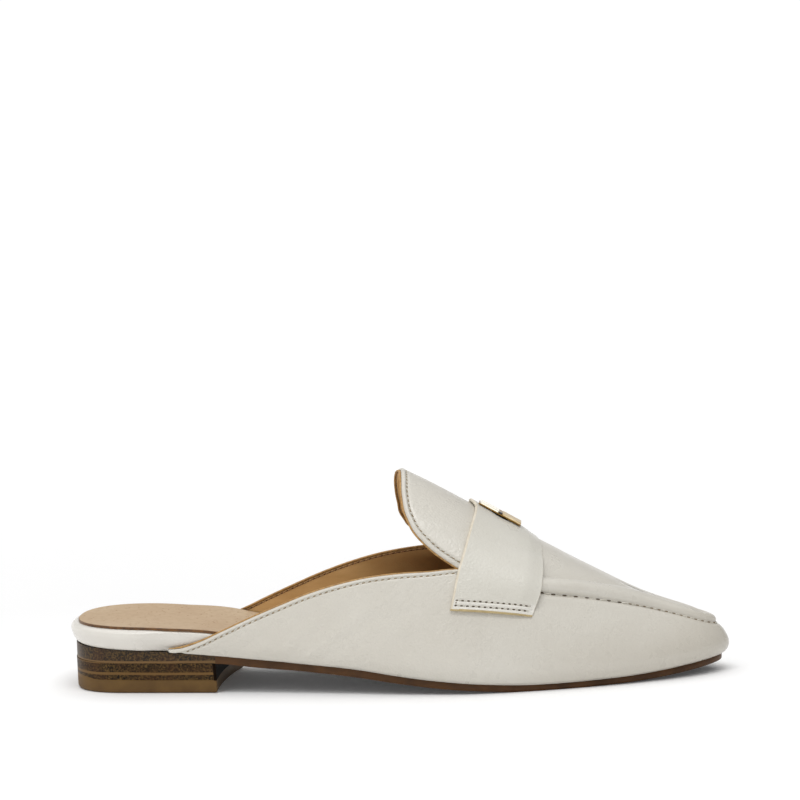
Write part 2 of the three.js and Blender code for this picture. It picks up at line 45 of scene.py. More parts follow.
# ---- driving sizes, as in the frame ----
GAP = 0.3
WALL = 2.0
TREAD_CENTRE_X = 31.0
UPPER_REAR_X = 41.5
APEX_X = 131.0
TOE_FAN_X = 225.0
CREST_BEND_X = 180.0
CREST_END_X = 237.0
SIGN = {"lateral": -1.0, "medial": 1.0}
SIDES = tuple(SIGN)
CORNER_X = {"lateral": 154.0, "medial": 147.0}
TIP = (254.6, 3.0)
BALL = {"lateral": (155.0, -40.0), "medial": (174.0, 38.5)}
TOE_TAPER, TOE_ROUNDNESS = 1.3, 1.7
SWELL_HEIGHT = 7.0
BACK_ROUND = 32.0
BACK_SQUARENESS = 2.6
SEAT_SQUARENESS = 2.35
FOOTBED_HALF_WIDTH = 31.0
SOCK_THICKNESS = 1.0
SOCK_MARGIN = 3.0
SOLE_INSET = 1.2
HEEL_BACK_X = 2.3


def table(columns, *rows):
    """Named columns of numbers."""
    return dict(zip(columns.split(), np.array(rows, float).T))


PLAN = table(
    "x lateral medial",
    (0, 28, 28), (25, 29, 28.5), (50, 30, 27), (70, 31.2, 23.5), (90, 33.4, 22),
    (110, 36.2, 23.8), (130, 38.8, 29), (150, 40, 34.9), (162, 40, 37.4),
    (174, 40, 38.5), (186, 40, 38.5),
)
PROFILE = table(
    "x tread seat sock",
    (0, 12.2, 18.2, 26.8), (20, 12.1, 17.3, 26.3), (40, 12, 16.2, 25.5), (60, 11.6, 14.6, 24.1),
    (76, 9.9, 13.1, 20.9), (92, 8.7, 11.7, 17.6), (115, 6.3, 9.3, 13.3), (130, 4.1, 7, 11.3),
    (145, 2.2, 5.1, 9.7), (160, 0.9, 3.6, 8.7), (172, 0, 2.7, 8.2), (202, 0, 2.4, 8),
    (220, 0.5, 3.1, 8.8), (236, 1.8, 4.4, 10.1), (256, 4.2, 6.8, 12.3),
)
CREST = table(
    "x y z",
    (0, 0, 100), (60, 0, 98), (100, 0, 92), (131, 1, 81.4), (156, 3, 67.6), (187, 5, 49.9),
    (207, 5.5, 38.9), (222, 5, 31.2), (237, 4, 25.4),
)
SECTION = table(
    "x power lateral medial",
    (0, 2, 1.5, 1.5), (50, 2, 2, 2), (90, 2, 1.8, 3.2), (130, 2, 1.8, 2.8), (170, 2.1, 1.9, 2.2),
    (215, 2.1, 2.2, 2.2), (238, 1.95, 2.6, 2.6), (254.6, 1.88, 2.7, 2.7),
)
TOPLINE = table(
    "x lateral medial",
    (41.5, 16.7, 17), (46, 17.3, 17.5), (52, 19.4, 19.4), (62, 24, 22.6), (74, 29.4, 28.4),
    (85, 33.9, 33.5), (96, 38.2, 38.2), (107, 41.5, 42.1), (118, 43.9, 45.1), (130, 45.3, 47.1),
    (142, 45.8, 48), (154, 46.2, 46.8), (170, 40.8, 41.8), (184, 36.3, 37), (198, 33.7, 32.8),
    (214, 30.5, 27.4), (229, 27, 23.3), (242, 23.3, 20.5), (250, 20.3, 19.3), (254.6, 18.6, 18.6),
)
TONGUE_EDGE = table(
    "share lateral medial",
    (0, 154, 147), (0.05, 146, 135), (0.13, 138.8, 130), (0.27, 134, 128.3),
    (0.46, 132.1, 127.8), (0.7, 131.6, 128.7), (1, APEX_X, APEX_X),
)
STRAP_REAR = table(
    "share lateral medial",
    (0, 149.7, 148.8), (0.08, 150.8, 149.8), (0.2, 152.3, 151.2), (0.35, 154.6, 153),
    (0.6, 157.4, 155.2), (0.8, 158.7, 156), (0.92, 158.5, 156.4), (1, 157.3, 157.3),
)
STRAP_FRONT = table(
    "share lateral medial",
    (0, 180.1, 178.9), (0.08, 181.5, 180.4), (0.2, 183, 181.8), (0.35, 183.8, 182.4),
    (0.6, 184.4, 182.4), (0.8, 184.3, 182), (0.92, 183.6, 181.9), (1, 182.6, 182.6),
)
STRAP_END_RISE = {"rear": 0.256, "front": 0.309}
STRAP_THICKNESS = 1.25
STRAP_GAP = 0.2
STRAP_LIFT = 0.1
RIDGE = table(
    "x width height",
    (174, 5, 0), (180, 5, 1.5), (186, 5, 2.2), (205, 4.8, 2.2), (222, 4.3, 2), (236, 3.9, 1.7),
    (246, 3.6, 1.5), (254.6, 3.4, 1.2),
)
RIDGE_TOP = 2.2
RIDGE_SPREAD_UNDER_STRAP = 3.6


def curve(rows, column, by="x"):
    """A smooth curve through one column of a table, as a function of another column."""
    xs, ys = rows[by], rows[column]
    steps = np.diff(xs)
    slopes = np.diff(ys) / steps
    inner = (steps[1:] * slopes[:-1] + steps[:-1] * slopes[1:]) / (steps[:-1] + steps[1:])
    tangents = np.concatenate([slopes[:1], inner, slopes[-1:]])

    def value(x):
        x = np.clip(np.asarray(x, float), xs[0], xs[-1])
        i = np.clip(np.searchsorted(xs, x, side="right") - 1, 0, len(steps) - 1)
        t = (x - xs[i]) / steps[i]
        start = (1 + 2 * t) * (1 - t) ** 2 * ys[i] + t * (1 - t) ** 2 * steps[i] * tangents[i]
        end = t * t * (3 - 2 * t) * ys[i + 1] + t * t * (t - 1) * steps[i] * tangents[i + 1]
        return start + end

    return value


def side_curves(rows, by="x"):
    return {side: curve(rows, side, by) for side in SIDES}


half_width = side_curves(PLAN)
tread_z = curve(PROFILE, "tread")
seat_z = curve(PROFILE, "seat")
sock_z = curve(PROFILE, "sock")
crest_y = curve(CREST, "y")
crest_z = curve(CREST, "z")
power = curve(SECTION, "power")
swell = side_curves(SECTION)
topline = side_curves(TOPLINE)
tongue_edge = side_curves(TONGUE_EDGE, "share")
strap_rear = side_curves(STRAP_REAR, "share")
strap_front = side_curves(STRAP_FRONT, "share")
ridge_width = curve(RIDGE, "width")
ridge_height = curve(RIDGE, "height")


def lerp(a, b, t):
    return a + (b - a) * t


def smoothstep(x, low, high):
    t = np.clip((np.asarray(x, float) - low) / (high - low), 0, 1)
    return t * t * (3 - 2 * t)


def hump(x, centre, half):
    """A soft bell that is 1 at its centre and 0 from half its width on."""
    t = np.clip(np.abs(np.asarray(x, float) - centre) / half, 0, 1)
    return (1 - t * t) ** 2


def humps(x, *bells):
    """The sum of bells of (height, centre, half width)."""
    return sum(height * hump(x, centre, half) for height, centre, half in bells)


# ---- the last ----

def feather_y(x, side):
    ball_x, ball_y = BALL[side]
    u = np.clip((x - ball_x) / (TIP[0] - ball_x), 0, 1)
    toe = TIP[1] + (ball_y - TIP[1]) * (1 - u ** TOE_TAPER) ** (1 / TOE_ROUNDNESS)
    return np.where(x > ball_x, toe, SIGN[side] * half_width[side](x))


def feather_z(x):
    return seat_z(x) + GAP


def crest_x(x):
    u = np.clip((x - CREST_BEND_X) / (TIP[0] - CREST_BEND_X), 0, 1)
    start = (TIP[0] - CREST_BEND_X) / (CREST_END_X - CREST_BEND_X)
    bent = CREST_BEND_X + (CREST_END_X - CREST_BEND_X) * (start * u + (1 - start) * u * u)
    return np.where(x > CREST_BEND_X, bent, x)


def last_point(x, side, rise):
    """Points of the last: rise goes from 0 at the feather line to 1 at the crest."""
    x, rise = np.broadcast_arrays(np.asarray(x, float), np.asarray(rise, float))
    foot = np.stack([x, feather_y(x, side), feather_z(x)], -1)
    top = crest_x(x)
    reach = np.stack([top, crest_y(top), crest_z(top)], -1) - foot
    shape = 2 / power(x)
    angle = rise * math.pi / 2
    height = reach[..., 2] * np.maximum(np.sin(angle), 0) ** shape
    ratio = height / SWELL_HEIGHT
    swollen = swell[side](x) * ratio * np.exp(1 - ratio) * np.cos(angle) ** 2
    bulge = swollen / np.hypot(reach[..., 0], reach[..., 1])
    across = 1 - np.maximum(np.cos(angle), 0) ** shape - bulge
    plan = foot[..., :2] + reach[..., :2] * across[..., None]
    return np.concatenate([plan, (foot[..., 2] + height)[..., None]], -1)


def rise_at(x, z):
    """The rise at which a section reaches the height z."""
    low = feather_z(x)
    share = np.clip((z - low) / (crest_z(crest_x(x)) - low), 0, 1)
    return np.arcsin(share ** (power(x) / 2)) * 2 / math.pi


def unit(vectors):
    return vectors / np.maximum(np.linalg.norm(vectors, axis=-1, keepdims=True), 1e-12)


def last_normal(x, side, rise):
    """Outward normals of the last. Both sides agree on the crest and at the tip."""
    dx, dr = 0.2, 0.004
    x, rise = np.broadcast_arrays(np.asarray(x, float), np.asarray(rise, float))

    def one(from_side):
        ahead = last_point(np.minimum(x + dx, TIP[0]), from_side, rise)
        along = ahead - last_point(np.maximum(x - dx, 0), from_side, rise)
        above = last_point(x, from_side, np.minimum(rise + dr, 1))
        up = above - last_point(x, from_side, np.maximum(rise - dr, 0))
        return np.cross(along, up) * -SIGN[from_side]

    at_tip = x > TIP[0] - dx
    shared = (at_tip | (rise > 1 - dr))[..., None]
    normal = np.where(shared, one("lateral"), one(side))
    normal[..., 1] = np.where(at_tip, 0, normal[..., 1])
    return unit(normal)


def skin(place, offset):
    """Points at some offset outside the last. place is (x, side, rise)."""
    return last_point(*place) + last_normal(*place) * np.asarray(offset)[..., None]


def ridge(x, side, rise, spread=1.0, height=ridge_height):
    """How far the moccasin seam's roll stands proud, steeper on its lower side."""
    above = (last_point(x, side, rise)[..., 2] - topline[side](x)) / ridge_width(x)
    across = (above - 0.5) / spread + 0.5
    inside = (across > 0) & (across < 1)
    roll = np.sin(math.pi * np.clip(across, 0, 1) ** 0.85) ** 0.75
    return height(x) * np.where(inside, roll, 0)


# ---- mesh building ----

def row_frame(points):
    """Millimetres from the footbed's back to metres in the row's frame."""
    points = np.asarray(points, float).copy()
    points[..., 0] -= TREAD_CENTRE_X
    return points * MM


class Builder:
    """Collects grids of points into one mesh."""

    def __init__(self):
        self.blocks, self.faces, self.slots, self.count = [], [], [], 0

    def grid(self, points, close=False, slot=0):
        """Adds the quads of an (n, m) grid of points; close joins the last row to the first."""
        n, m = points.shape[:2]
        index = self.count + np.arange(n * m).reshape(n, m)
        self.blocks.append(points.reshape(-1, 3))
        self.count += n * m
        after = np.roll(index, -1, 0) if close else index[1:]
        before = index if close else index[:-1]
        quads = np.stack([before[:, :-1], after[:, :-1], after[:, 1:], before[:, 1:]], -1)
        self.faces.append(quads.reshape(-1, 4))
        self.slots.append(np.broadcast_to(slot, (quads.size // 4,)))

    def fan(self, ring, slot=0):
        """Fills a ring with faces that meet in its middle."""
        middle = np.tile(ring.mean(0), (len(ring), 1))
        self.grid(np.stack([ring, middle], 1), close=True, slot=slot)

    def piece(self, name, materials, slot, sharp=None):
        """Welds the grids into a smooth piece that rides on the shoe's one body."""
        mesh = bpy.data.meshes.new(name)
        vertices = row_frame(np.concatenate(self.blocks))
        mesh.from_pydata(vertices.tolist(), [], np.concatenate(self.faces).tolist())
        for material in materials:
            mesh.materials.append(material)
        mesh.polygons.foreach_set("material_index", np.concatenate(self.slots).astype(np.int32))
        work = bmesh.new()
        work.from_mesh(mesh)
        bmesh.ops.remove_doubles(work, verts=work.verts, dist=2e-6)
        bmesh.ops.recalc_face_normals(work, faces=work.faces)
        work.to_mesh(mesh)
        work.free()
        mesh.polygons.foreach_set("use_smooth", np.ones(len(mesh.polygons), bool))
        if sharp:
            mesh.set_sharp_from_angle(angle=math.radians(sharp))
        mesh.update()
        piece = bpy.data.objects.new(name, mesh)
        bpy.context.scene.collection.objects.link(piece)
        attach(piece, "root")
        return piece


def tube(builder, path, radii, normals, sides=6, slot=0, flatten=1.0):
    """Adds a closed tube along a path, with its ends drawn in to points."""
    tangent = unit(np.gradient(path, axis=0))
    side = unit(np.cross(tangent, normals))
    up = np.cross(side, tangent)
    angles = np.linspace(0, 2 * math.pi, sides, endpoint=False)[:, None]
    around = np.cos(angles) * side[:, None] + flatten * np.sin(angles) * up[:, None]
    rings = path[:, None] + np.broadcast_to(radii, (len(path),))[:, None, None] * around
    start, end = (np.repeat(point[:, None], sides, 1) for point in (path[:1], path[-1:]))
    rings = np.concatenate([start, rings, end])
    builder.grid(rings.transpose(1, 0, 2), close=True, slot=slot)


# ---- materials ----

def rgb(red, green, blue):
    """An sRGB colour, 0 to 255, as linear light."""
    share = np.array([red, green, blue]) / 255
    linear = np.where(share <= 0.04045, share / 12.92, ((share + 0.055) / 1.055) ** 2.4)
    return (*linear.tolist(), 1.0)


class Nodes:
    """A node tree, with short calls for the nodes used here."""

    def __init__(self, tree, coordinates):
        self.nodes, self.links = tree.nodes, tree.links
        self.place = self.add("TexCoord", coordinates)

    def put(self, socket, value):
        """Links an input to another node's output, or sets it to a constant."""
        if isinstance(value, bpy.types.NodeSocket):
            self.links.new(value, socket)
        else:
            socket.default_value = value

    def add(self, kind, output, inputs=(), **settings):
        """Adds a node with its settings and inputs, and returns one of its outputs."""
        node = self.nodes.new("ShaderNode" + kind)
        for name, value in settings.items():
            setattr(node, name, value)
        for key, value in dict(inputs).items():
            self.put(node.inputs[key], value)
        return node.outputs[output]

    def maths(self, a, operation, b):
        return self.add("Math", "Value", {0: a, 1: b}, operation=operation)

    def axis(self, name, scale=None):
        """One coordinate of the place, or some multiple of it."""
        value = self.add("SeparateXYZ", name, {"Vector": self.place})
        return self.maths(value, "MULTIPLY", scale) if scale else value

    def mapped(self, scale=(1, 1, 1), rotation=(0, 0, 0), kind="POINT"):
        """Stretched coordinates. A TEXTURE mapping turns first, and its scale lengthens."""
        inputs = {"Vector": self.place, "Scale": scale, "Rotation": rotation}
        return self.add("Mapping", "Vector", inputs, vector_type=kind)

    def noise(self, size, detail=2.0, rough=0.5, distortion=0.0, vector=None):
        """Noise whose lumps are about size millimetres across."""
        inputs = {"Vector": vector or self.place, "Scale": 1 / (size * MM), "Detail": detail,
                  "Roughness": rough, "Distortion": distortion}
        return self.add("TexNoise", "Fac", inputs)

    def cells(self, size, feature="F1"):
        """Distance from the middles of cells about size millimetres across."""
        inputs = {"Vector": self.place, "Scale": 1 / (size * MM)}
        return self.add("TexVoronoi", "Distance", inputs, feature=feature)

    def ramp(self, value, *stops):
        """Maps a value through stops of (position, level or colour)."""
        colour = self.add("ValToRGB", "Color", {"Fac": value})
        elements = colour.node.color_ramp.elements
        while len(elements) < len(stops):
            elements.new(0.5)
        for element, (position, level) in zip(elements, stops):
            element.position = position
            element.color = level if isinstance(level, tuple) else (level, level, level, 1)
        return colour

    def mix(self, share, first, second):
        inputs = {"Factor": share, "A": first, "B": second}
        return self.add("Mix", "Result", inputs, data_type="RGBA")

    def fade(self, value, low, high, first, second, share=1.0):
        """Goes from the first colour to a share of the second as a value goes from low to high."""
        return self.mix(self.ramp(value, (low, 0.0), (high, share)), first, second)


class Shader(Nodes):
    """The node tree of one material."""

    def __init__(self, name, metallic=0.0, specular=0.5):
        self.material = bpy.data.materials.new(name)
        self.material.use_nodes = True
        super().__init__(self.material.node_tree, "Object")
        self.surface = self.nodes["Principled BSDF"].inputs
        self.surface["Metallic"].default_value = metallic
        self.surface["Specular IOR Level"].default_value = specular
        self.relief = None

    def bump(self, value, depth, strength):
        """Adds relief of some depth in millimetres."""
        inputs = {"Strength": strength, "Distance": depth * MM, "Height": value}
        if self.relief:
            inputs["Normal"] = self.relief
        self.relief = self.add("Bump", "Normal", inputs)

    def done(self, colour, roughness):
        self.put(self.surface["Base Color"], colour)
        self.put(self.surface["Roughness"], roughness)
        if self.relief:
            self.put(self.surface["Normal"], self.relief)
        return self.material


def smooth_leather(name, light, dark, grain, roughness=(0.25, 0.35), slant=50, toe=None,
                   specular=0.6):
    """Finished leather: pebbled grain, patches of fine slanting wrinkles, faint cloudy colour, and
    painted shade in the wrinkles and in the grain's pits.

    toe is a deeper colour mixed in low down towards the shoe's tip: painted shade there.
    """
    shader = Shader(name, specular=specular)
    clouds = shader.noise(38, detail=3, rough=0.55)
    cloudy = shader.fade(clouds, 0.32, 0.72, light, dark)
    mottling = shader.noise(3.2, detail=4, rough=0.6)
    speckled = shader.fade(mottling, 0.35, 0.8, cloudy, dark, 0.16)
    slanting = shader.mapped((1.0, 1.0, 3.4), (0, math.radians(slant), 0), "TEXTURE")
    wrinkles = shader.noise(1.5, detail=3, rough=0.55, distortion=0.4, vector=slanting)
    patches = shader.ramp(shader.noise(26, detail=2), (0.42, 0.15), (0.62, 1.0))
    behind = shader.ramp(shader.axis("X", 5), (0.6, 1.0), (0.8, 0.3))
    patches = shader.maths(patches, "MULTIPLY", behind)
    folds = shader.maths(shader.ramp(wrinkles, (0.38, 0.0), (0.62, 1.0)), "MULTIPLY", patches)
    pebbles = shader.cells(0.8, "SMOOTH_F1")
    shader.bump(shader.noise(8, detail=2, distortion=0.6), 0.14, 0.6)
    shader.bump(folds, 0.18 * grain, 0.8)
    shader.bump(pebbles, -0.2 * grain, 0.7)
    shader.bump(shader.noise(0.5, detail=2, rough=0.6, distortion=0.3), 0.08 * grain, 0.6)
    # Painted shade: the colour darkens in the wrinkles and in the grain's pits.
    shade = tuple(0.8 * level for level in dark[:3]) + (1.0,)
    creased = shader.fade(folds, 0.0, 1.0, speckled, shade, 0.11 * grain)
    colour = shader.fade(pebbles, 0.3, 0.75, creased, shade, 0.06 * grain)
    # Painted shade: the toe colour low down towards the tip.
    if toe:
        ahead = shader.maths(shader.axis("X", 4), "SUBTRACT", shader.axis("Z", 8))
        colour = shader.fade(ahead, 0.5, 0.7, colour, toe, 0.5)
    gloss = shader.ramp(shader.noise(9, detail=3), (0.3, roughness[0]), (0.75, roughness[1]))
    return shader.done(colour, gloss)


def lining_leather():
    """Brown lining with long soft streaks and open pores, with painted shade deep inside the shoe.
    """
    shader = Shader("lining leather")
    streaks = shader.noise(7, detail=4, vector=shader.mapped(scale=(0.35, 1, 1.4)))
    base = shader.fade(streaks, 0.3, 0.75, rgb(220, 181, 125), rgb(198, 156, 98))
    # Painted shade: darker brown low down and towards the front, deep in the shoe.
    inward = shader.ramp(shader.axis("X", 5), (0.38, 0.0), (0.56, 0.85))
    low = shader.ramp(shader.axis("Z", 10), (0.42, 1.0), (0.5, 0.0))
    colour = shader.mix(shader.maths(inward, "MULTIPLY", low), base, rgb(104, 66, 24))
    shader.bump(shader.noise(1.1, detail=4), 0.07, 0.6)
    shader.bump(shader.cells(0.7), 0.05, 0.5)
    return shader.done(colour, shader.ramp(streaks, (0.3, 0.5), (0.8, 0.62)))


def sock_leather():
    """Matt pigskin print: clusters of pinpricks on warm tan."""
    shader = Shader("sock leather")
    base = shader.fade(shader.noise(30, detail=3), 0.3, 0.7, rgb(196, 172, 140),
                       rgb(185, 157, 124))
    fine = shader.fade(shader.noise(2.2, detail=5), 0.4, 0.75, base, rgb(170, 140, 108), 0.5)
    pricks = shader.ramp(shader.cells(2.4), (0.1, 1.0), (0.19, 0.0))
    clusters = shader.ramp(shader.noise(6.5, detail=1), (0.4, 0.0), (0.5, 1.0))
    dots = shader.maths(pricks, "MULTIPLY", clusters)
    shader.bump(dots, -0.12, 0.8)
    shader.bump(shader.noise(0.8, detail=3), 0.04, 0.6)
    return shader.done(shader.mix(dots, fine, rgb(150, 108, 72)), 0.62)


def plain_edge(name, light, dark, roughness, size=2.5, **finish):
    """Edge paint, thread, painted shade and other narrow finishes: two close colours and a little
    relief.
    """
    shader = Shader(name, **finish)
    shader.bump(shader.noise(size * 0.25, detail=3), 0.03, 0.5)
    clouds = shader.noise(size, detail=4)
    return shader.done(shader.fade(clouds, 0.35, 0.7, light, dark), roughness)


# Its toe colour is painted shade low down at the tip.
BONE = smooth_leather("bone leather", rgb(211, 207, 197), rgb(204, 199, 188), 0.65,
                      toe=rgb(188, 181, 168))
# Lighter than the upper's bone leather: painted highlight for the wrap's lit shoulder.
WRAP_LEATHER_PAINTED_HIGHLIGHT = smooth_leather("wrap leather", rgb(224, 220, 212), rgb(214, 209, 200), 0.3,
                           roughness=(0.22, 0.3), specular=0.8)
BONE_STRAP = smooth_leather("strap leather", rgb(213, 210, 200), rgb(206, 202, 191), 0.7,
                            roughness=(0.26, 0.36), slant=82)
# A lighter copy of the strap leather: painted highlight on the puffed sewn ends.
STRAP_PAINTED_HIGHLIGHT = smooth_leather("strap leather painted highlight", rgb(226, 223, 215), rgb(216, 212, 202), 0.8,
                           slant=82)
LINING = lining_leather()
SOCK = sock_leather()
CREAM_EDGE = plain_edge("cream edge paint", rgb(222, 213, 196), rgb(204, 193, 172), 0.38)
TAN_EDGE = plain_edge("tan edge paint", rgb(190, 170, 124), rgb(170, 148, 104), 0.4)
BURNISHED = plain_edge("burnished sock edge", rgb(118, 76, 20), rgb(66, 38, 8), 0.35)
RAW_EDGE = plain_edge("raw lining edge", rgb(188, 148, 90), rgb(154, 114, 62), 0.6, size=1.2)
THREAD = plain_edge("bone thread", rgb(222, 218, 208), rgb(196, 190, 176), 0.55, size=0.7)
BROWN_THREAD = plain_edge("brown thread", rgb(136, 92, 50), rgb(104, 68, 34), 0.6, size=0.7)
# Needle holes: dark tubes whose colours are painted shade in each hole, lighter or darker by where
# they sit.
HOLE_SHADE, SOFT_HOLE_SHADE, TOE_HOLE_SHADE, BROWN_HOLE_SHADE = (
    plain_edge(name, light, dark, 0.8, size=0.5) for name, light, dark in (
        ("needle hole", rgb(98, 84, 64), rgb(62, 50, 36)),
        ("soft needle hole", rgb(164, 148, 122), rgb(126, 108, 82)),
        ("toe needle hole", rgb(142, 124, 96), rgb(104, 86, 62)),
        ("brown needle hole", rgb(104, 68, 34), rgb(78, 48, 20)),
    )
)


# ---- upper: grids over the last ----

EDGE_STEPS = np.array([0, 0.1, 0.22, 0.38, 0.58, 0.8, 1.0, 1.2, 1.4, 1.6, 1.8, 2.0, 2.25, 2.6, 3.2])
ROLL_STEPS = np.array([0, 0.02, 0.05, 0.1, 0.16, 0.24, 0.34, 0.45, 0.56, 0.67, 0.77, 0.85, 0.91,
                       0.96, 1.0, 1.06, 1.16])
TOPLINE_STITCH, TONGUE_STITCH = 1.6, 2.1  # from the edge to its row of stitches
PLUG_ROWS, WALL_ROWS = 30, 24
OUTER_PITCH, LINING_PITCH = 0.8, 1.6
LEATHER_DEPTH = 1.0
LINING_INSET, LINING_DEPTH = 0.45, 1.08


def between(start, end, pitch):
    """Even steps of about a pitch, without the first value."""
    count = max(int(round(abs(end - start) / pitch)), 1)
    return np.linspace(start, end, count + 1)[1:]


def toe_stations(count):
    return TOE_FAN_X + (TIP[0] - TOE_FAN_X) * np.sin(np.linspace(0, math.pi / 2, count + 1)[1:])


def crest_stations(pitch):
    stops = (APEX_X + EDGE_STEPS[-1], CORNER_X["medial"], CORNER_X["lateral"], TOE_FAN_X)
    spans = [between(start, end, pitch) for start, end in zip(stops, stops[1:])]
    return np.concatenate([APEX_X + EDGE_STEPS, *spans, toe_stations(44)])


def below_topline(x, side, distance):
    """The height of a line at some distance from the topline, square to it."""
    slope = topline[side](x + 0.5) - topline[side](x - 0.5)
    return topline[side](x) - distance * np.hypot(1, slope)


def is_open(x, side):
    """Whether a wall's column ends in the free topline and not in the seam."""
    return x < CORNER_X[side] + 0.01


def wall_places(side, pitch, inset=0.0):
    """Columns from the feather line up to the topline or seam, close together near the top."""
    rear = between(UPPER_REAR_X + inset, CORNER_X[side], pitch)
    stations = crest_stations(pitch)
    x = np.concatenate([[UPPER_REAR_X + inset], rear, stations[stations > CORNER_X[side]]])
    top = np.where(is_open(x, side), below_topline(x, side, inset), topline[side](x))
    room = top - feather_z(x)
    near = EDGE_STEPS * np.minimum(1, 0.5 * room / EDGE_STEPS[-1])[:, None]
    far = near[:, -1:] + (room[:, None] - near[:, -1:]) * np.linspace(0, 1, WALL_ROWS + 1)[1:]
    z = top[:, None] - np.concatenate([near, far], 1)[:, ::-1]
    x = np.broadcast_to(x[:, None], z.shape)
    return x, side, rise_at(x, z)


def plug_places(side, pitch, inset=0.0):
    """Columns from the seam over its roll to the crest and, behind the corner, of the tongue."""
    corner = CORNER_X[side]
    stations = crest_stations(pitch)
    foot = np.maximum(stations, corner)[:, None]
    low = rise_at(foot, topline[side](foot) + ROLL_STEPS * ridge_width(foot))
    high = low[:, -1:] + (1 - low[:, -1:]) * np.linspace(0, 1, PLUG_ROWS + 1)[1:]
    rise = np.concatenate([low, high], 1)
    share = (rise - rise[:, :1]) / (1 - rise[:, :1])
    edge = tongue_edge[side](share) + inset * smoothstep(share, 0, 0.12)
    back = np.clip((corner - stations) / (corner - APEX_X), 0, 1)[:, None]
    x = np.where(stations[:, None] < corner, lerp(corner, edge, back), foot)
    return x, side, rise


def surface_line(x, side, rise, offset):
    """Points and normals along a line of the last."""
    return skin((x, side, rise), offset), last_normal(x, side, rise)


def joined(lateral, medial):
    """A line along the lateral side and back along the medial side, as points and normals."""
    return [np.concatenate([there, back[::-1][1:]]) for there, back in zip(lateral, medial)]


def tongue_line(offset, proud=0.0):
    """The tongue's whole edge, as points and normals."""
    sides = []
    for side in SIDES:
        x, _, rise = plug_places(side, OUTER_PITCH)
        sides.append(surface_line(x[0] - proud, side, rise[0], offset))
    return joined(*sides)


def open_edge(side):
    """Points up the rear end of one wall and along its topline."""
    x, _, rise = wall_places(side, OUTER_PITCH)
    free = is_open(x[:, 0], side)
    x, rise = (np.concatenate([grid[0, :-1], grid[free, -1]]) for grid in (x, rise))
    return last_point(x, side, rise)


def polyline_distance(points, line, chunk=4000):
    """Distance from each point to the nearest stretch of a polyline."""
    start, span = line[:-1], np.diff(line, axis=0)
    length2 = np.maximum((span ** 2).sum(-1), 1e-12)
    flat = points.reshape(-1, 3)
    out = np.empty(len(flat))
    for i in range(0, len(flat), chunk):
        off = flat[i:i + chunk, None] - start[None]
        t = np.clip((off * span).sum(-1) / length2, 0, 1)
        out[i:i + chunk] = np.linalg.norm(off - t[..., None] * span, axis=-1).min(1)
    return out.reshape(points.shape[:-1])


EDGE_LINES = {side: (open_edge(side), tongue_line(0.0)[0]) for side in SIDES}


def edge_distances(place):
    """Distances to the open edge and to the tongue's edge; any large number far ahead of them."""
    x, side, _ = place
    points = last_point(*place)
    near = x < CORNER_X["lateral"] + 14
    distances = np.full((2, *x.shape), 99.0)
    for distance, line in zip(distances, EDGE_LINES[side]):
        distance[near] = polyline_distance(points[near], line)
    return distances


# Soft troughs of the worn-in leather: start x, z, end x, z, half width, depth.
CREASES = {
    "lateral": ((92, 17, 112, 33, 5, 0.22), (100, 14, 121, 29, 4, 0.2), (84, 20, 101, 33, 4, 0.14),
                (128, 16, 146, 27, 6, 0.16), (70, 17, 84, 25, 4, 0.12)),
    "medial": ((90, 16, 108, 34, 5, 0.22), (104, 13, 124, 30, 5, 0.18),
               (130, 17, 148, 28, 6, 0.16)),
}


def creases(side, points):
    total = np.zeros(points.shape[:-1])
    for x0, z0, x1, z1, half, depth in CREASES[side]:
        span = np.array([x1 - x0, z1 - z0], float)
        off = points[..., [0, 2]] - np.array([x0, z0])
        t = np.clip((off * span).sum(-1) / (span ** 2).sum(), 0, 1)
        away = np.linalg.norm(off - t[..., None] * span, axis=-1)
        total += humps(away, (-depth, 0, half), (depth / 2, half * 0.95, half * 0.6))
    return total


def undulation(points):
    """Low, slow unevenness of leather drawn over a last."""
    x, y, z = np.moveaxis(points, -1, 0)
    wave = np.sin(x / 9.1 + 0.7 * np.sin(z / 8.3) + y / 17) * np.sin(z / 7.7 + x / 23 + 1.3)
    ripple = np.sin(x / 4.3 - z / 5.9 + y / 8) * np.sin(z / 3.9 + x / 11)
    return 0.07 * wave + 0.025 * ripple


def upper_relief(place, to_top, to_tongue):
    """Everything that stands above or below the last on the leather's outside."""
    x, side, rise = place
    points = last_point(x, side, rise)
    below = topline[side](x) - points[..., 2]
    seam = humps(below, (-0.6, 0.35, 1.0), (0.2, 2.4, 1.8), (-0.12, -ridge_width(x) - 0.3, 1.4))
    relief = ridge(x, side, rise) + seam * ridge_height(x) / RIDGE_TOP
    relief += humps(to_top, (-0.34, TOPLINE_STITCH, 0.7), (0.1, 0.8, 0.7))
    relief += humps(to_tongue, (-0.42, TONGUE_STITCH, 0.8), (0.16, 1.0, 0.8))
    calm = smoothstep(np.minimum(to_top, to_tongue), 2, 8)
    return relief + calm * (undulation(points) + creases(side, points))


def round_over(distance, radius):
    """How far a rounded edge has drawn in at some distance from its rim."""
    left = np.clip(radius - distance, 0, radius)
    return radius - np.sqrt(np.maximum(radius ** 2 - left ** 2, 0))


def build_shell(name, inset, outside, inside, material, pitch):
    """A closed leaf between two offsets from the last, over walls and plug of both sides."""
    builder = Builder()
    for side in SIDES:
        places = wall_places(side, pitch, inset), plug_places(side, pitch, inset)
        away = [edge_distances(place) for place in places]
        free = is_open(places[0][0][:, 0], side)
        rims, feet = [], []
        for offset in (outside, inside):
            walls, plugs = (skin(place, offset(place, *to)) for place, to in zip(places, away))
            builder.grid(walls)
            builder.grid(plugs)
            rims.append(np.concatenate([walls[0, :-1], walls[free, -1], plugs[0, 1:]]))
            feet.append(walls[:, 0])
        builder.grid(np.stack(rims))
        builder.grid(np.stack(feet))
    return builder.piece(name, [material], "upper_leather")


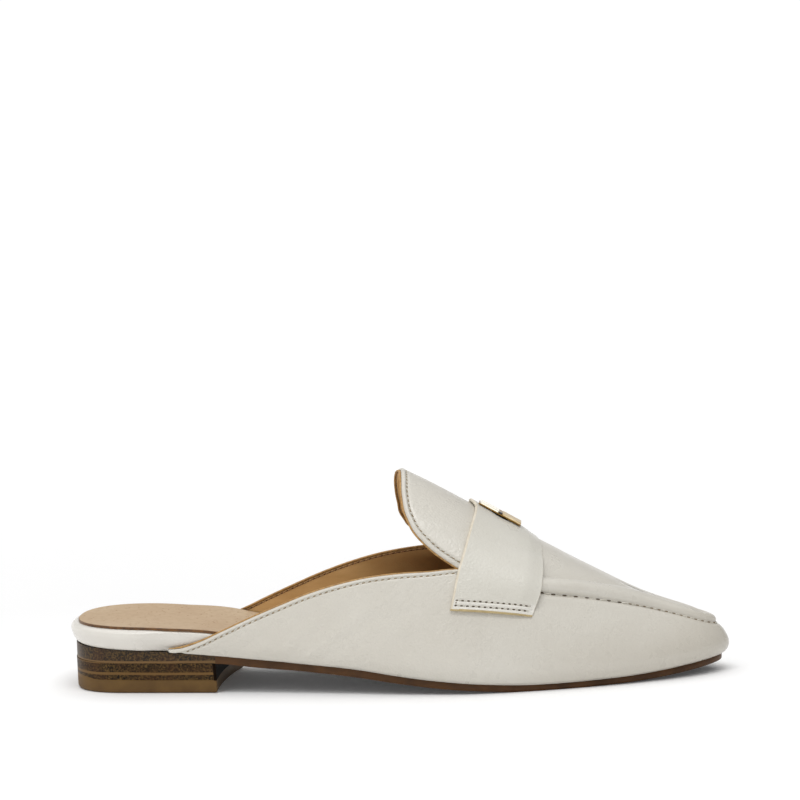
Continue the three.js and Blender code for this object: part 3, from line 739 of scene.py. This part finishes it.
def make_upper():
    def leather_outside(place, to_top, to_tongue):
        rounding = round_over(np.minimum(to_top, to_tongue), LEATHER_DEPTH)
        return upper_relief(place, to_top, to_tongue) - rounding

    def lining_inside(_, to_top, to_tongue):
        near = np.minimum(to_top, to_tongue) - LINING_INSET
        return round_over(near, WALL - LINING_DEPTH) - WALL

    leather = build_shell("upper_leather", 0.0, leather_outside, lambda *_: -LEATHER_DEPTH, BONE,
                          OUTER_PITCH)
    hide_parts("upper")
    build_shell("upper_lining", LINING_INSET, lambda *_: -LINING_DEPTH, lining_inside, LINING,
                LINING_PITCH)


# ---- stitches ----

def resample(line, pitch, phase, slant):
    """The real pitch, and evenly spaced places along a line with normals and slanted directions."""
    points, normals = line
    run = np.concatenate([[0], np.cumsum(np.linalg.norm(np.diff(points, axis=0), axis=1))])
    count = max(int(run[-1] / pitch), 1)
    step = run[-1] / count
    at = (np.arange(count) + phase) * step

    def read(rows, where):
        return np.stack([np.interp(where, run, column) for column in rows.T], -1)

    normal = unit(read(normals, at))
    along = unit(read(points, at + 0.2) - read(points, at - 0.2))
    return step, zip(read(points, at), normal, unit(along + slant * np.cross(normal, along)))


def add_stitches(builder, line, pitch, radius=0.2, share=0.55, sink=0.12, slant=0.0, hole=0.3,
                 hole_length=0.6, hole_slot=1):
    """Thread lying along a line in short arched bights, with a needle hole between each pair."""
    reach = np.linspace(-1, 1, 7)
    arch = 1 - reach ** 2
    step, bights = resample(line, pitch, 0.5, slant)
    for centre, normal, along in bights:
        lift = np.outer(arch * 0.2 - sink, normal)
        path = centre + np.outer(reach * step * share / 2, along) + lift
        tube(builder, path, radius * (0.75 + 0.25 * arch), normal)
    # The needle holes are dark flattened tubes: painted shade.
    for centre, normal, along in resample(line, pitch, 0.0, slant)[1]:
        path = centre + np.outer(np.linspace(-1, 1, 5) * hole_length, along) - 0.06 * normal
        tube(builder, path, hole * np.array([0.5, 0.9, 1, 0.9, 0.5]), normal, slot=hole_slot,
             flatten=0.5)


def make_edge_stitches(name, materials, facing, depth, drops):
    """Rows of stitches inside the toplines and round the tongue. facing is -1 on the lining."""
    topline_drop, tongue_drop = drops
    builder = Builder()
    for side in SIDES:
        x = np.linspace(UPPER_REAR_X + 2.5, CORNER_X[side] - 0.5, 240)
        z = below_topline(x, side, topline_drop)
        keep = z > feather_z(x) + 0.8
        points, normals = surface_line(x[keep], side, rise_at(x[keep], z[keep]), depth)
        add_stitches(builder, (points, facing * normals), 2.4, slant=0.18)
    points, normals = tongue_line(depth)
    inward = unit(np.cross(unit(np.gradient(points, axis=0)), normals))
    row = (points + inward * tongue_drop)[3:-3], facing * normals[3:-3]
    add_stitches(builder, row, 2.3, slant=0.3, hole=0.25)
    builder.piece(name, materials, "upper_leather")


def make_raw_edges():
    """The lining's raw edge, showing as a thin bead inside the toplines and the tongue."""
    builder = Builder()
    radius, depth, proud = 0.46, -1.5, 0.12
    for side in SIDES:
        x = np.linspace(UPPER_REAR_X + 0.3, CORNER_X[side], 260)
        rise = rise_at(x, topline[side](x) + proud)
        points, normals = surface_line(x, side, rise, depth)
        taper = np.minimum(1, 0.3 + np.linspace(0, 12, len(x)))
        tube(builder, points, radius * taper, normals, sides=8)
    points, normals = tongue_line(depth, proud)
    tube(builder, points, radius, normals, sides=8)
    builder.piece("lining_edges", [RAW_EDGE], "upper_leather")


def make_seam_stitches():
    """Stitches along the foot of the moccasin roll: long at the sides, gathered round the toe."""
    builder = Builder()
    lie = {"share": 0.6, "sink": 0.15, "slant": 0.08}

    def line(x, side):
        rise = rise_at(x, topline[side](x) - 0.35)
        return surface_line(x, side, rise, 0.18 - 0.6 * ridge_height(x) / RIDGE_TOP)

    flank = np.linspace(RIDGE["x"][0] + 6, TOE_FAN_X - 5, 120)
    for side, x in (("lateral", flank), ("medial", flank[::-1])):
        add_stitches(builder, line(x, side), 4.2, radius=0.24, hole=0.36, hole_length=0.85, **lie)
    x = np.concatenate([np.linspace(TOE_FAN_X - 5, TOE_FAN_X, 20), toe_stations(60)])
    toe = joined(*(line(x, side) for side in SIDES))
    add_stitches(builder, toe, 3.0, radius=0.22, hole=0.3, hole_length=0.7, hole_slot=2, **lie)
    builder.piece("seam_stitches", [THREAD, HOLE_SHADE, TOE_HOLE_SHADE], "upper_leather")


make_upper()
make_raw_edges()
make_edge_stitches("edge_stitches", [THREAD, SOFT_HOLE_SHADE], facing=1, depth=-0.2,
                   drops=(TOPLINE_STITCH, TONGUE_STITCH))
make_edge_stitches("lining_stitches", [BROWN_THREAD, BROWN_HOLE_SHADE], facing=-1, depth=-WALL - 0.02,
                   drops=(0.9, TONGUE_STITCH + 0.2))
make_seam_stitches()


# ---- saddle strap ----

STRAP_ROWS = (2.0, 3.95)  # rows of stitches, from the sewn end's edge
STRAP_SPAN, STRAP_RUN = 30, 47  # about how wide it is, and how long from sewn end to crest


def strap_place(across, share, side):
    """A place of the strap: across from rear to front, share from the sewn end to the crest."""
    across, share = np.broadcast_arrays(np.asarray(across, float), np.asarray(share, float))
    end = lerp(STRAP_END_RISE["rear"], STRAP_END_RISE["front"], across)
    x = lerp(strap_rear[side](share), strap_front[side](share), across)
    return x, side, lerp(end, 1.0, share)


def covered_ridge_height(x):
    """The roll's height under the strap, which it lifts."""
    return RIDGE_TOP * smoothstep(x, 156, 185)


def strap_under(place, across):
    """Clearance under the strap: proud of the crest, pulled down by the bar, tight in front."""
    rise = place[2]
    front = smoothstep(across, 0.5, 1)
    lift = STRAP_LIFT * smoothstep(rise, 0.6, 1) * lerp(1.15, 0.95, smoothstep(across, 0, 0.3))
    curl = 0.1 * hump(across, 0, 0.16) * smoothstep(rise, 0.82, 0.95)
    dip = 0.3 * hump(across, 0.4, 0.18) * smoothstep(rise, 0.86, 0.97)
    roll = ridge(*place, RIDGE_SPREAD_UNDER_STRAP, covered_ridge_height)
    return lerp(STRAP_GAP, 0.1, front) + (lift + curl) * (1 - front) - dip + roll


def strap_thickness(across):
    """The front edge is skived thin."""
    return STRAP_THICKNESS * (1 - 0.55 * smoothstep(across, 0.78, 1))


def make_strap():
    steps = np.array([0, 0.06, 0.14, 0.25, 0.4, 0.55, 0.75, 1.0, 1.4])
    rim = steps / STRAP_SPAN
    across = np.concatenate([rim, np.linspace(rim[-1], 1 - rim[-1], 48)[1:-1], 1 - rim[::-1]])
    sewn = np.concatenate([steps, np.linspace(1.4, 6, 24)[1:]]) / STRAP_RUN
    share = np.concatenate([sewn, np.linspace(sewn[-1], 1, 60)[1:]])
    a, s = np.meshgrid(across, share, indexing="ij")
    run = np.linspace(0, 1, 200)
    builder = Builder()
    for side in SIDES:
        place = strap_place(a, s, side)
        points = last_point(*place)
        edges = ((run, 0.0), (0.0, run), (1.0, run))
        to_end, to_rear, to_front = (
            polyline_distance(points, last_point(*strap_place(*edge, side))) for edge in edges)
        to_rim = np.minimum.reduce([to_end, to_rear, to_front])
        radius = strap_thickness(a) / 2
        height = np.sqrt(np.maximum(radius ** 2 - np.clip(radius - to_rim, 0, radius) ** 2, 0))
        inboard = smoothstep(a, 0.02, 0.08) * smoothstep(1 - a, 0.02, 0.08)
        pulled = humps(to_end, (0.26, np.mean(STRAP_ROWS), 0.9), (0.12, 1.0, 0.8),
                       *((-0.3, row, 0.6) for row in STRAP_ROWS))
        wear = 0.7 * undulation(points) + inboard * pulled
        middle = strap_under(place, a) + radius
        end, rear, front = (((to[:-1, :-1] + to[1:, 1:]) / 2).reshape(-1)
                            for to in (to_end, to_rear, to_front))
        painted = [end < 0.7, (rear < 0.75) | (front < 0.15)]
        # Within 4.4 mm of the sewn end the top takes the painted highlight.
        builder.grid(skin(place, middle + height + wear * smoothstep(to_rim, 0, 0.8)),
                     slot=np.select([*painted, end < 4.4], [3, 1, 2], 0))
        builder.grid(skin(place, middle - height), slot=np.select(painted, [3, 1], 0))
    strap = builder.piece("strap_leather", [BONE_STRAP, CREAM_EDGE, STRAP_PAINTED_HIGHLIGHT, TAN_EDGE],
                          "strap_leather")
    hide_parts("saddle_strap")


def strap_line(across, share, side, raised_by):
    place = strap_place(across, share, side)
    return surface_line(*place, strap_under(place, across) + strap_thickness(across) + raised_by)


def strap_shares(across, distance, side):
    """Shares at which the strap is some distance from its sewn end's edge."""
    shares = np.linspace(0, 0.25, 80)
    end = last_point(*strap_place(np.linspace(0, 1, 200), 0.0, side))
    a, s = np.meshgrid(across, shares, indexing="ij")
    away = polyline_distance(last_point(*strap_place(a, s, side)), end)
    return np.array([np.interp(distance, row, shares) for row in away])


def make_strap_stitches():
    """Two rows across each sewn end, closed at the rear by a short stitch."""
    builder = Builder()
    run = np.linspace(0.055, 0.955, 80)
    for side in SIDES:
        rows = [strap_shares(run, row, side) for row in STRAP_ROWS]
        for shares in rows:
            add_stitches(builder, strap_line(run, shares, side, -0.14), 2.15, radius=0.19,
                         share=0.5, slant=0.12, hole=0.38, hole_length=0.48)
        closing = np.linspace(rows[0][0], rows[1][0], 20)
        add_stitches(builder, strap_line(np.full(20, run[0]), closing, side, 0.14), 0.95,
                     radius=0.14, share=0.6, hole=0.3, hole_length=0.3)
    builder.piece("strap_stitches", [THREAD, HOLE_SHADE], "strap_leather")


make_strap()
make_strap_stitches()


# ---- flat pieces ----

def slab_stations(back_x):
    back = back_x + BACK_ROUND * (1 - np.cos(np.linspace(0, math.pi / 2, 40)))
    return np.concatenate([back, between(back[-1], TOE_FAN_X, 1.6), toe_stations(40)])


def back_round(x, back_x, squareness):
    u = np.clip(1 - (x - back_x) / BACK_ROUND, 0, 1)
    return (1 - u ** squareness) ** (1 / squareness)


def closed_outline(stations, edge):
    """Lateral side from back to tip, then the medial side back again."""
    return np.concatenate([edge(stations, "lateral"), edge(stations[1:-1], "medial")[::-1]])


def inset_outline(points, distance):
    """The outline moved inwards, square to its own edge."""
    along = unit(np.roll(points, -1, 0) - np.roll(points, 1, 0))
    inward = np.stack([-along[:, 1], along[:, 0]], -1)
    return points + inward * np.asarray(distance)[..., None]


def raised(points, height, lift=0.0):
    return np.concatenate([points, (height(points[:, 0]) + lift)[:, None]], -1)


def cap_grid(ring, rows, dish=0.0):
    """Fills a ring with rows across it, sunk in the middle by a dish."""
    half = len(ring) // 2
    lateral = ring[:half + 1]
    medial = np.concatenate([ring[:1], ring[half:][::-1]])
    t = np.linspace(0, 1, rows + 1)[None, :, None]
    grid = lateral[:, None] * (1 - t) + medial[:, None] * t
    grid[..., 2] -= dish * (1 - (2 * t[..., 0] - 1) ** 2) * smoothstep(grid[..., 0], 2, 20)
    return grid


def make_slab(name, rings, materials, slot, dish=0.0, rows=14, slots=0, bottom=0, sharp=None):
    """A flat piece from rings stacked upwards, closed by filled caps."""
    builder = Builder()
    bands = np.broadcast_to(slots, (len(rings) - 1,))
    builder.grid(np.stack(rings, 1), close=True, slot=np.tile(bands, len(rings[0])))
    builder.grid(cap_grid(rings[-1], rows, dish))
    builder.grid(cap_grid(rings[0], 4), slot=bottom)
    return builder.piece(name, materials, slot, sharp)


def inside_upper(x):
    return smoothstep(x, 28.5, 42.5)


def beside_wall(x, side, height, clearance):
    """The wall's inside at some height, in plan."""
    depth = -WALL - clearance
    first = skin((x, side, rise_at(x, height)), depth)
    return skin((x, side, rise_at(x, 2 * height - first[:, 2])), depth)[:, :2]


def seat_outline(height, margin, clearance):
    """Outline of what lies on the seat: a free edge behind, the wall's inside in front."""
    def edge(x, side):
        half = FOOTBED_HALF_WIDTH * back_round(x, 0, SEAT_SQUARENESS)
        free = np.stack([x, SIGN[side] * half], -1)
        return lerp(free, beside_wall(x, side, height(x), clearance), inside_upper(x)[:, None])

    points = closed_outline(slab_stations(0.0), edge)
    return inset_outline(points, margin * (1 - inside_upper(points[:, 0])))


FOOTBED_EDGE = table(
    "share margin clearance",
    (0, 2.5, 1.2), (0.08, 1.75, 1.0), (0.2, 1.15, 0.9), (0.38, 0.6, 0.7), (0.55, 0.2, 0.6),
    (0.7, 0.05, 0.6), (0.84, 0.3, 0.6), (0.94, 0.9, 0.8), (1.0, 2.0, 1.3),
)
FOOTBED_TOP = -SOCK_THICKNESS - 0.06  # from the sock's surface


def make_footbed():
    margin, clearance = (curve(FOOTBED_EDGE, key, "share") for key in ("margin", "clearance"))
    rings = []
    for share in np.linspace(0, 1, 19):
        def height(x, share=share):
            return lerp(feather_z(x), sock_z(x) + FOOTBED_TOP, share)

        outline = seat_outline(height, margin(share), clearance(share))
        ring = raised(outline, height)
        soft = undulation(ring) * 0.5 * (1 - inside_upper(ring[:, 0]))
        ring[:, :2] = inset_outline(outline, -soft)
        rings.append(ring)
    footbed = make_slab("footbed_wrap", rings, [WRAP_LEATHER_PAINTED_HIGHLIGHT], "wrap_leather")
    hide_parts("footbed")


def make_sock():
    plan = seat_outline(sock_z, SOCK_MARGIN, 0.7)
    rings = [raised(inset_outline(plan, inset), sock_z, lift) for inset, lift in
             ((0.0, 0.02 - SOCK_THICKNESS), (-0.05, -0.16), (0.22, 0.0), (1.2, 0.0))]
    sock = make_slab("sock", rings, [SOCK, BURNISHED], "sock_leather", dish=0.7, rows=30,
                     slots=[1, 1, 0], sharp=50)
    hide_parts("sock_lining")


# ---- outsole and heel ----

HEEL_BREAST_X = 62.0
HEEL_TURN, HEEL_TURN_X = math.radians(4.5), 30.0
BREAST_HOLLOW, BREAST_FACING = 1.7, 1.1
HEEL_TREAD_HALF_WIDTH, HEEL_TOP_HALF_WIDTH = 25.4, 27.4
HEEL_TOP_Z = 12.2
LIFT_HEIGHT = 5.0
HEEL_GAP = 0.04  # between the stack and its neighbours
LIFT_BROWN = rgb(108, 81, 42)


def stack_colours(shader, grains):
    """Colour of the heel's layers by height: speckled dark leather, two lines, the lift's brown."""
    wobble = shader.maths(shader.noise(14, detail=1), "SUBTRACT", 0.5)
    height = shader.maths(shader.axis("Z"), "ADD", shader.maths(wobble, "MULTIPLY", 0.6 * MM))
    layer = shader.maths(height, "MULTIPLY", 1 / (20 * MM))
    dark = shader.ramp(grains, (0.42, rgb(16, 11, 5)), (0.5, rgb(58, 42, 20)),
                       (0.6, rgb(98, 75, 40)))
    stain = shader.fade(shader.noise(7, detail=2), 0.42, 0.7, dark, rgb(68, 41, 22), 0.5)
    lines = shader.ramp(layer, (0.0, 0.0), (0.362, 0.0), (0.37, 1.0), (0.412, 1.0), (0.42, 0.0),
                        (0.59, 0.0), (0.598, 1.0), (0.643, 1.0), (0.651, 0.0))
    lined = shader.mix(lines, stain, rgb(112, 84, 48))
    from_back = shader.maths(shader.axis("X", 10), "ADD", 0.5)
    lift_top = shader.maths(shader.ramp(from_back, (0.21, 0.07), (0.31, 0.0)), "ADD", 1.0)
    return shader.fade(shader.maths(lift_top, "SUBTRACT", layer), 0.732, 0.74, lined, LIFT_BROWN)


def stacked_heel():
    shader = Shader("stacked heel", specular=0.12)
    grains = shader.noise(0.75, detail=5, rough=0.75)
    shader.bump(grains, 0.05, 0.6)
    return shader.done(stack_colours(shader, grains), shader.ramp(grains, (0.3, 0.5), (0.7, 0.38)))


def outsole_rubber():
    """Dark brown edge; round the heel seat it belongs to the stack."""
    shader = Shader("outsole", specular=0.25)
    stack = stack_colours(shader, shader.noise(0.75, detail=5, rough=0.75))
    clouds = shader.noise(11, detail=3)
    plain = shader.fade(clouds, 0.35, 0.7, rgb(86, 54, 20), rgb(60, 36, 11))
    ahead = shader.maths(shader.axis("X"), "SUBTRACT", shader.axis("Y", math.tan(HEEL_TURN)))
    front = shader.maths(ahead, "GREATER_THAN", (HEEL_BREAST_X - TREAD_CENTRE_X) * MM)
    shader.bump(shader.noise(1.0, detail=3), 0.04, 0.6)
    return shader.done(shader.mix(front, stack, plain),
                       shader.ramp(clouds, (0.3, 0.36), (0.7, 0.48)))


STACK = stacked_heel()
OUTSOLE = outsole_rubber()
# Painted shade: the breast and its facing strip near-black, as in deep shadow.
BREAST_SHADE = plain_edge("heel breast painted shade", rgb(26, 15, 7), rgb(16, 9, 4), 0.7, size=5, specular=0.04)
# Painted shade: the outsole's underside near-black brown, as under the arch.
SOLE_UNDERSIDE_SHADE = plain_edge("outsole underside painted shade", rgb(40, 25, 12), rgb(28, 17, 8), 0.7, size=6, specular=0.06)
TOP_LIFT = plain_edge("top lift", LIFT_BROWN, rgb(94, 69, 36), 0.6, size=7, specular=0.25)


def make_outsole():
    back_x = HEEL_BACK_X - SOLE_INSET

    def edge(x, side):
        return np.stack([x, feather_y(x, side) * back_round(x, back_x, BACK_SQUARENESS)], -1)

    plan = closed_outline(slab_stations(back_x), edge)
    breast_x = HEEL_BREAST_X + plan[:, 1] * math.tan(HEEL_TURN)
    ahead = smoothstep(plan[:, 0] - breast_x, -1, 3)
    rounding = ((1.9, 0.0), (1.55, 0.06), (1.35, 0.25), (1.2, 0.6), (1.14, 1.3), (1.2, 2.0))
    levels = [(margin, tread_z, lift) for margin, lift in rounding] + [(1.3, seat_z, 0.0)]
    rings = [raised(inset_outline(plan, lerp(SOLE_INSET - 0.25, margin, ahead)), surface, lift)
             for margin, surface, lift in levels]
    # The underside and the lowest band of the edge take the painted shade.
    outsole = make_slab("outsole_edge", rings, [OUTSOLE, SOLE_UNDERSIDE_SHADE], "outsole_rubber",
                        slots=[1, 0, 0, 0, 0, 0], bottom=1, sharp=60)
    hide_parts("outsole")


def heel_outline(z, margin=0.0):
    """A D-shaped outline with a hollow breast, turned about the heel's middle."""
    shape = 2 / BACK_SQUARENESS
    half = lerp(HEEL_TREAD_HALF_WIDTH, HEEL_TOP_HALF_WIDTH, z / HEEL_TOP_Z) - margin
    front_x = HEEL_BREAST_X - margin
    centre_x = HEEL_BACK_X + margin + half
    angle = np.linspace(-math.pi / 2, math.pi / 2, 80)
    across = np.sign(np.sin(angle)) * np.abs(np.sin(angle)) ** shape
    back = np.stack([centre_x - half * np.maximum(np.cos(angle), 0) ** shape, half * across], -1)
    side_x = np.append(np.linspace(centre_x, front_x - BREAST_FACING, 14)[1:], front_x - 0.35)
    medial = np.stack([side_x, np.full(len(side_x), half)], -1)
    y = np.linspace(1, -1, 24) * (half - 0.3)
    breast = np.stack([front_x - BREAST_HOLLOW * (1 - (y / half) ** 2), y], -1)
    lateral = medial[::-1] * (1, -1)
    points = np.concatenate([back, medial, breast, lateral]) - (HEEL_TURN_X, 0)
    cos, sin = math.cos(HEEL_TURN), math.sin(HEEL_TURN)
    turned = points @ np.array([(cos, -sin), (sin, cos)]) + (HEEL_TURN_X, 0)
    # Faces of the breast and its facing strip, which take the painted shade.
    breast_shaded = np.zeros(len(points), int)
    breast_shaded[len(back) + len(medial) - 2:1 - len(lateral)] = 1
    return turned, breast_shaded


def make_heel_piece(name, levels, materials, slot):
    """Rings of (height of the outline, its margin, surface, lift) stacked upwards."""
    builder = Builder()
    rings = []
    for z, margin, surface, lift in levels:
        outline, breast_shaded = heel_outline(z, margin)
        rings.append(raised(outline, surface, lift))
    builder.grid(np.stack(rings, 1), close=True, slot=np.repeat(breast_shaded, len(rings) - 1))
    for ring in (rings[-1], rings[0]):
        builder.fan(ring, slot=1)
    return builder.piece(name, materials, slot, sharp=40)


def make_heel():
    bottom = LIFT_HEIGHT + HEEL_GAP
    levels = [(lerp(bottom, 12, share), 0.0,
               lambda x, share=share: lerp(bottom, tread_z(x) - HEEL_GAP, share), 0.0)
              for share in np.linspace(0, 1, 9)]
    stack = make_heel_piece("heel_stack", levels, [STACK, BREAST_SHADE], "stacked_heel")
    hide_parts("heel_block")
    rounding = ((0.0, 1.3), (0.12, 0.75), (0.4, 0.32), (0.9, 0.06), (1.5, 0.0), (4.7, 0.0),
                (LIFT_HEIGHT, 0.03))
    levels = [(z, margin, np.zeros_like, z) for z, margin in rounding]
    lift = make_heel_piece("heel_lift", levels, [TOP_LIFT, TOP_LIFT], "top_lift_rubber")
    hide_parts("top_lift")


make_footbed()
make_sock()
make_outsole()
make_heel()


# ---- ornament ----

BAR_X = 167.7
BAR_CLEARANCE = 0.2
BAR_LENGTH, BAR_WIDTH, BAR_RIM = 18.5, 9.0, 0.3
BAR_BASE, BAR_TOP, BAR_INLAY = 0.35, 1.15, 1.6


def polished_gold_with_painted_reflection():
    shader = Shader("gold with painted reflection", metallic=1.0)
    brushed = shader.noise(0.5, detail=3, vector=shader.mapped(scale=(1, 0.08, 1)))
    shader.bump(brushed, 0.012, 0.5)
    # Near-white tint: painted reflection of the overhead light on the gold.
    wear_and_reflection = shader.fade(shader.noise(2.4, detail=4), 0.35, 0.75, rgb(255, 250, 234),
                       rgb(252, 242, 214))
    return shader.done(wear_and_reflection, shader.ramp(brushed, (0.3, 0.12), (0.7, 0.2)))


def hatched_gold():
    """The front half's face: fine diagonal lines cut in satin gold."""
    shader = Shader("hatched gold", metallic=1.0)
    turned = shader.mapped(rotation=(0, math.radians(70), math.radians(25)))
    lines = shader.add("TexWave", "Fac", {"Vector": turned, "Scale": 1 / (3.2 * MM),
                                          "Distortion": 0.4})
    shader.bump(lines, 0.05, 0.9)
    return shader.done(shader.mix(lines, rgb(222, 196, 150), rgb(244, 226, 188)),
                       shader.ramp(shader.noise(1.5), (0.3, 0.3), (0.7, 0.42)))


BAR_MATERIALS = [
    polished_gold_with_painted_reflection(),
    plain_edge("dark gold", rgb(166, 128, 62), rgb(132, 98, 44), 0.3, metallic=1.0),
    plain_edge("dark enamel", rgb(64, 60, 56), rgb(40, 38, 36), 0.3),
    hatched_gold(),
    # Near-black pad: painted shadow under the bar's middle.
    plain_edge("black pad painted shadow", rgb(18, 16, 14), rgb(10, 9, 8), 0.8, specular=0.05),
]


def rounded_box(builder, low, high, bevel, slot):
    """A box with round corners and bevelled rims, as a stack of rings up its local z."""
    corner, steps = 0.5, 5
    low, high = np.array(low, float), np.array(high, float)
    turns = np.radians(np.arange(4 * steps) // steps * 90 + np.arange(4 * steps) % steps * 22.5)
    towards = np.array([(1, 1), (-1, 1), (-1, -1), (1, -1)], float).repeat(steps, 0)
    round_corner = corner * np.stack([np.cos(turns), np.sin(turns)], -1)
    centre, half = (low[:2] + high[:2]) / 2, (high[:2] - low[:2]) / 2 - corner
    rings = []
    for z, margin in ((low[2], bevel), (low[2] + bevel, 0), (high[2] - bevel, 0), (high[2], bevel)):
        plan = centre + towards * (half - margin) + round_corner
        rings.append(np.concatenate([plan, np.full((len(plan), 1), z)], 1))
    builder.grid(np.stack(rings, 1), close=True, slot=slot)
    for ring in (rings[-1], rings[0]):
        builder.fan(ring, slot)


def make_bar():
    """A plain bevelled bar on a darker base: near-white behind with a painted reflection, a dark
    inlay, hatched in front.
    """
    place = (np.array(BAR_X), "lateral", np.array(1.0))
    normal = last_normal(*place)
    origin = skin(place, STRAP_GAP + STRAP_LIFT + STRAP_THICKNESS + BAR_CLEARANCE)
    across = np.array([0.0, 1.0, 0.0])
    along = unit(np.cross(across, normal))
    end, side, inlay = BAR_LENGTH / 2, BAR_WIDTH / 2, BAR_INLAY / 2
    x, y, base, top = end - BAR_RIM, side - BAR_RIM, BAR_BASE, BAR_TOP
    builder = Builder()
    for box in (
        ((-end, -side, 0), (end, side, base), 0.12, 1),  # base
        ((-x, -y, base), (-inlay, y, top), 0.14, 0),  # bright half
        ((-inlay, 0.1 - y, base), (inlay, y - 0.1, top - 0.15), 0.05, 1),  # inlay
        ((0.1 - inlay, -y, base), (inlay - 0.1, 2.4 - side, top - 0.08), 0.05, 2),  # enamel
        ((inlay, -y, base), (x, y, top), 0.14, 3),  # hatched half
        # The near-black pad stands in for the shadow under the bar's middle.
        ((-2.9, -4.3, -0.95), (2.9, 4.1, 0), 0.1, 4),  # pad under the middle
    ):
        rounded_box(builder, *box)
    axes = np.stack([along, across, normal])
    builder.blocks = [origin + block @ axes for block in builder.blocks]
    bar = builder.piece("metal_bar", BAR_MATERIALS, "bar_metal", sharp=30)
    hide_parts("ornament_bar")


make_bar()


# ---- floor, light and camera ----

def add_object(name, data):
    thing = bpy.data.objects.new(name, data)
    bpy.context.scene.collection.objects.link(thing)
    return thing


def make_floor():
    """A pale floor that glows a little more with distance, so that it ends in white."""
    size = 12.0
    mesh = bpy.data.meshes.new("floor")
    mesh.from_pydata([(-size, -size, 0), (size, -size, 0), (size, size, 0), (-size, size, 0)],
                     [], [(0, 1, 2, 3)])
    shader = Shader("pale floor", specular=0.1)
    tone = shader.fade(shader.noise(400, detail=2), 0.3, 0.7, (0.95, 0.95, 0.95, 1),
                       (0.965, 0.965, 0.965, 1))
    reach = shader.add("VectorMath", "Value", {0: shader.place}, operation="LENGTH")
    glow = shader.ramp(shader.maths(reach, "MULTIPLY", 0.25), (0.05, 0.04), (0.3, 0.35))
    shader.put(shader.surface["Emission Color"], (1.0, 1.0, 1.0, 1.0))
    shader.put(shader.surface["Emission Strength"], glow)
    mesh.materials.append(shader.done(tone, 0.9))
    add_object("floor", mesh)


def area_light(name, location, size, watts):
    """A rectangular softbox aimed at the shoe."""
    data = bpy.data.lights.new(name, "AREA")
    data.shape = "RECTANGLE"
    data.size, data.size_y = size
    data.energy = watts
    light = add_object(name, data)
    light.location = location
    towards = Vector((0.1, 0.0, 0.03)) - Vector(location)
    light.rotation_euler = towards.to_track_quat("-Z", "Y").to_euler()


def make_lights():
    """A light tent: bright overhead and along the horizon, softer between, with two softboxes."""
    world = bpy.data.worlds.new("studio")
    world.use_nodes = True
    tent = Nodes(world.node_tree, "Generated")
    background = tent.nodes["Background"].inputs
    by_height = tent.ramp(tent.axis("Z"), (0.0, 1.05), (0.15, 1.05), (0.25, 0.45), (0.55, 0.52),
                          (0.8, 1.2))
    behind_toe = tent.add("MapRange", "Result", {
        "Value": tent.axis("X"), "From Min": 0.2, "From Max": 0.9, "To Min": 1.0, "To Max": 0.2})
    tent.put(background["Color"], by_height)
    tent.put(background["Strength"], behind_toe)
    bpy.context.scene.world = world
    area_light("top_softbox", (0.12, -0.4, 1.0), (0.7, 0.2), 3.3)
    area_light("front_softbox", (-0.5, -0.7, 0.95), (0.4, 0.3), 0.6)


def make_camera():
    """Seen from the lateral side, a little from the front and above, tipped by a small roll."""
    data = bpy.data.cameras.new("camera")
    data.sensor_width = 36.0
    data.lens = 103.5
    data.clip_start, data.clip_end = 0.05, 20
    location = Vector(row_frame([183.27, -887.26, 175.79]))
    target = Vector(row_frame([130.49, 11.55, 107.23]))
    roll = math.radians(-1.7)
    view = (target - location).to_track_quat("-Z", "Y").to_matrix().to_4x4()
    camera = add_object("camera", data)
    camera.matrix_world = Matrix.Translation(location) @ view @ Matrix.Rotation(roll, 4, "Z")
    bpy.context.scene.camera = camera


make_floor()
make_lights()
make_camera()
bpy.context.scene.view_settings.view_transform = "Standard"
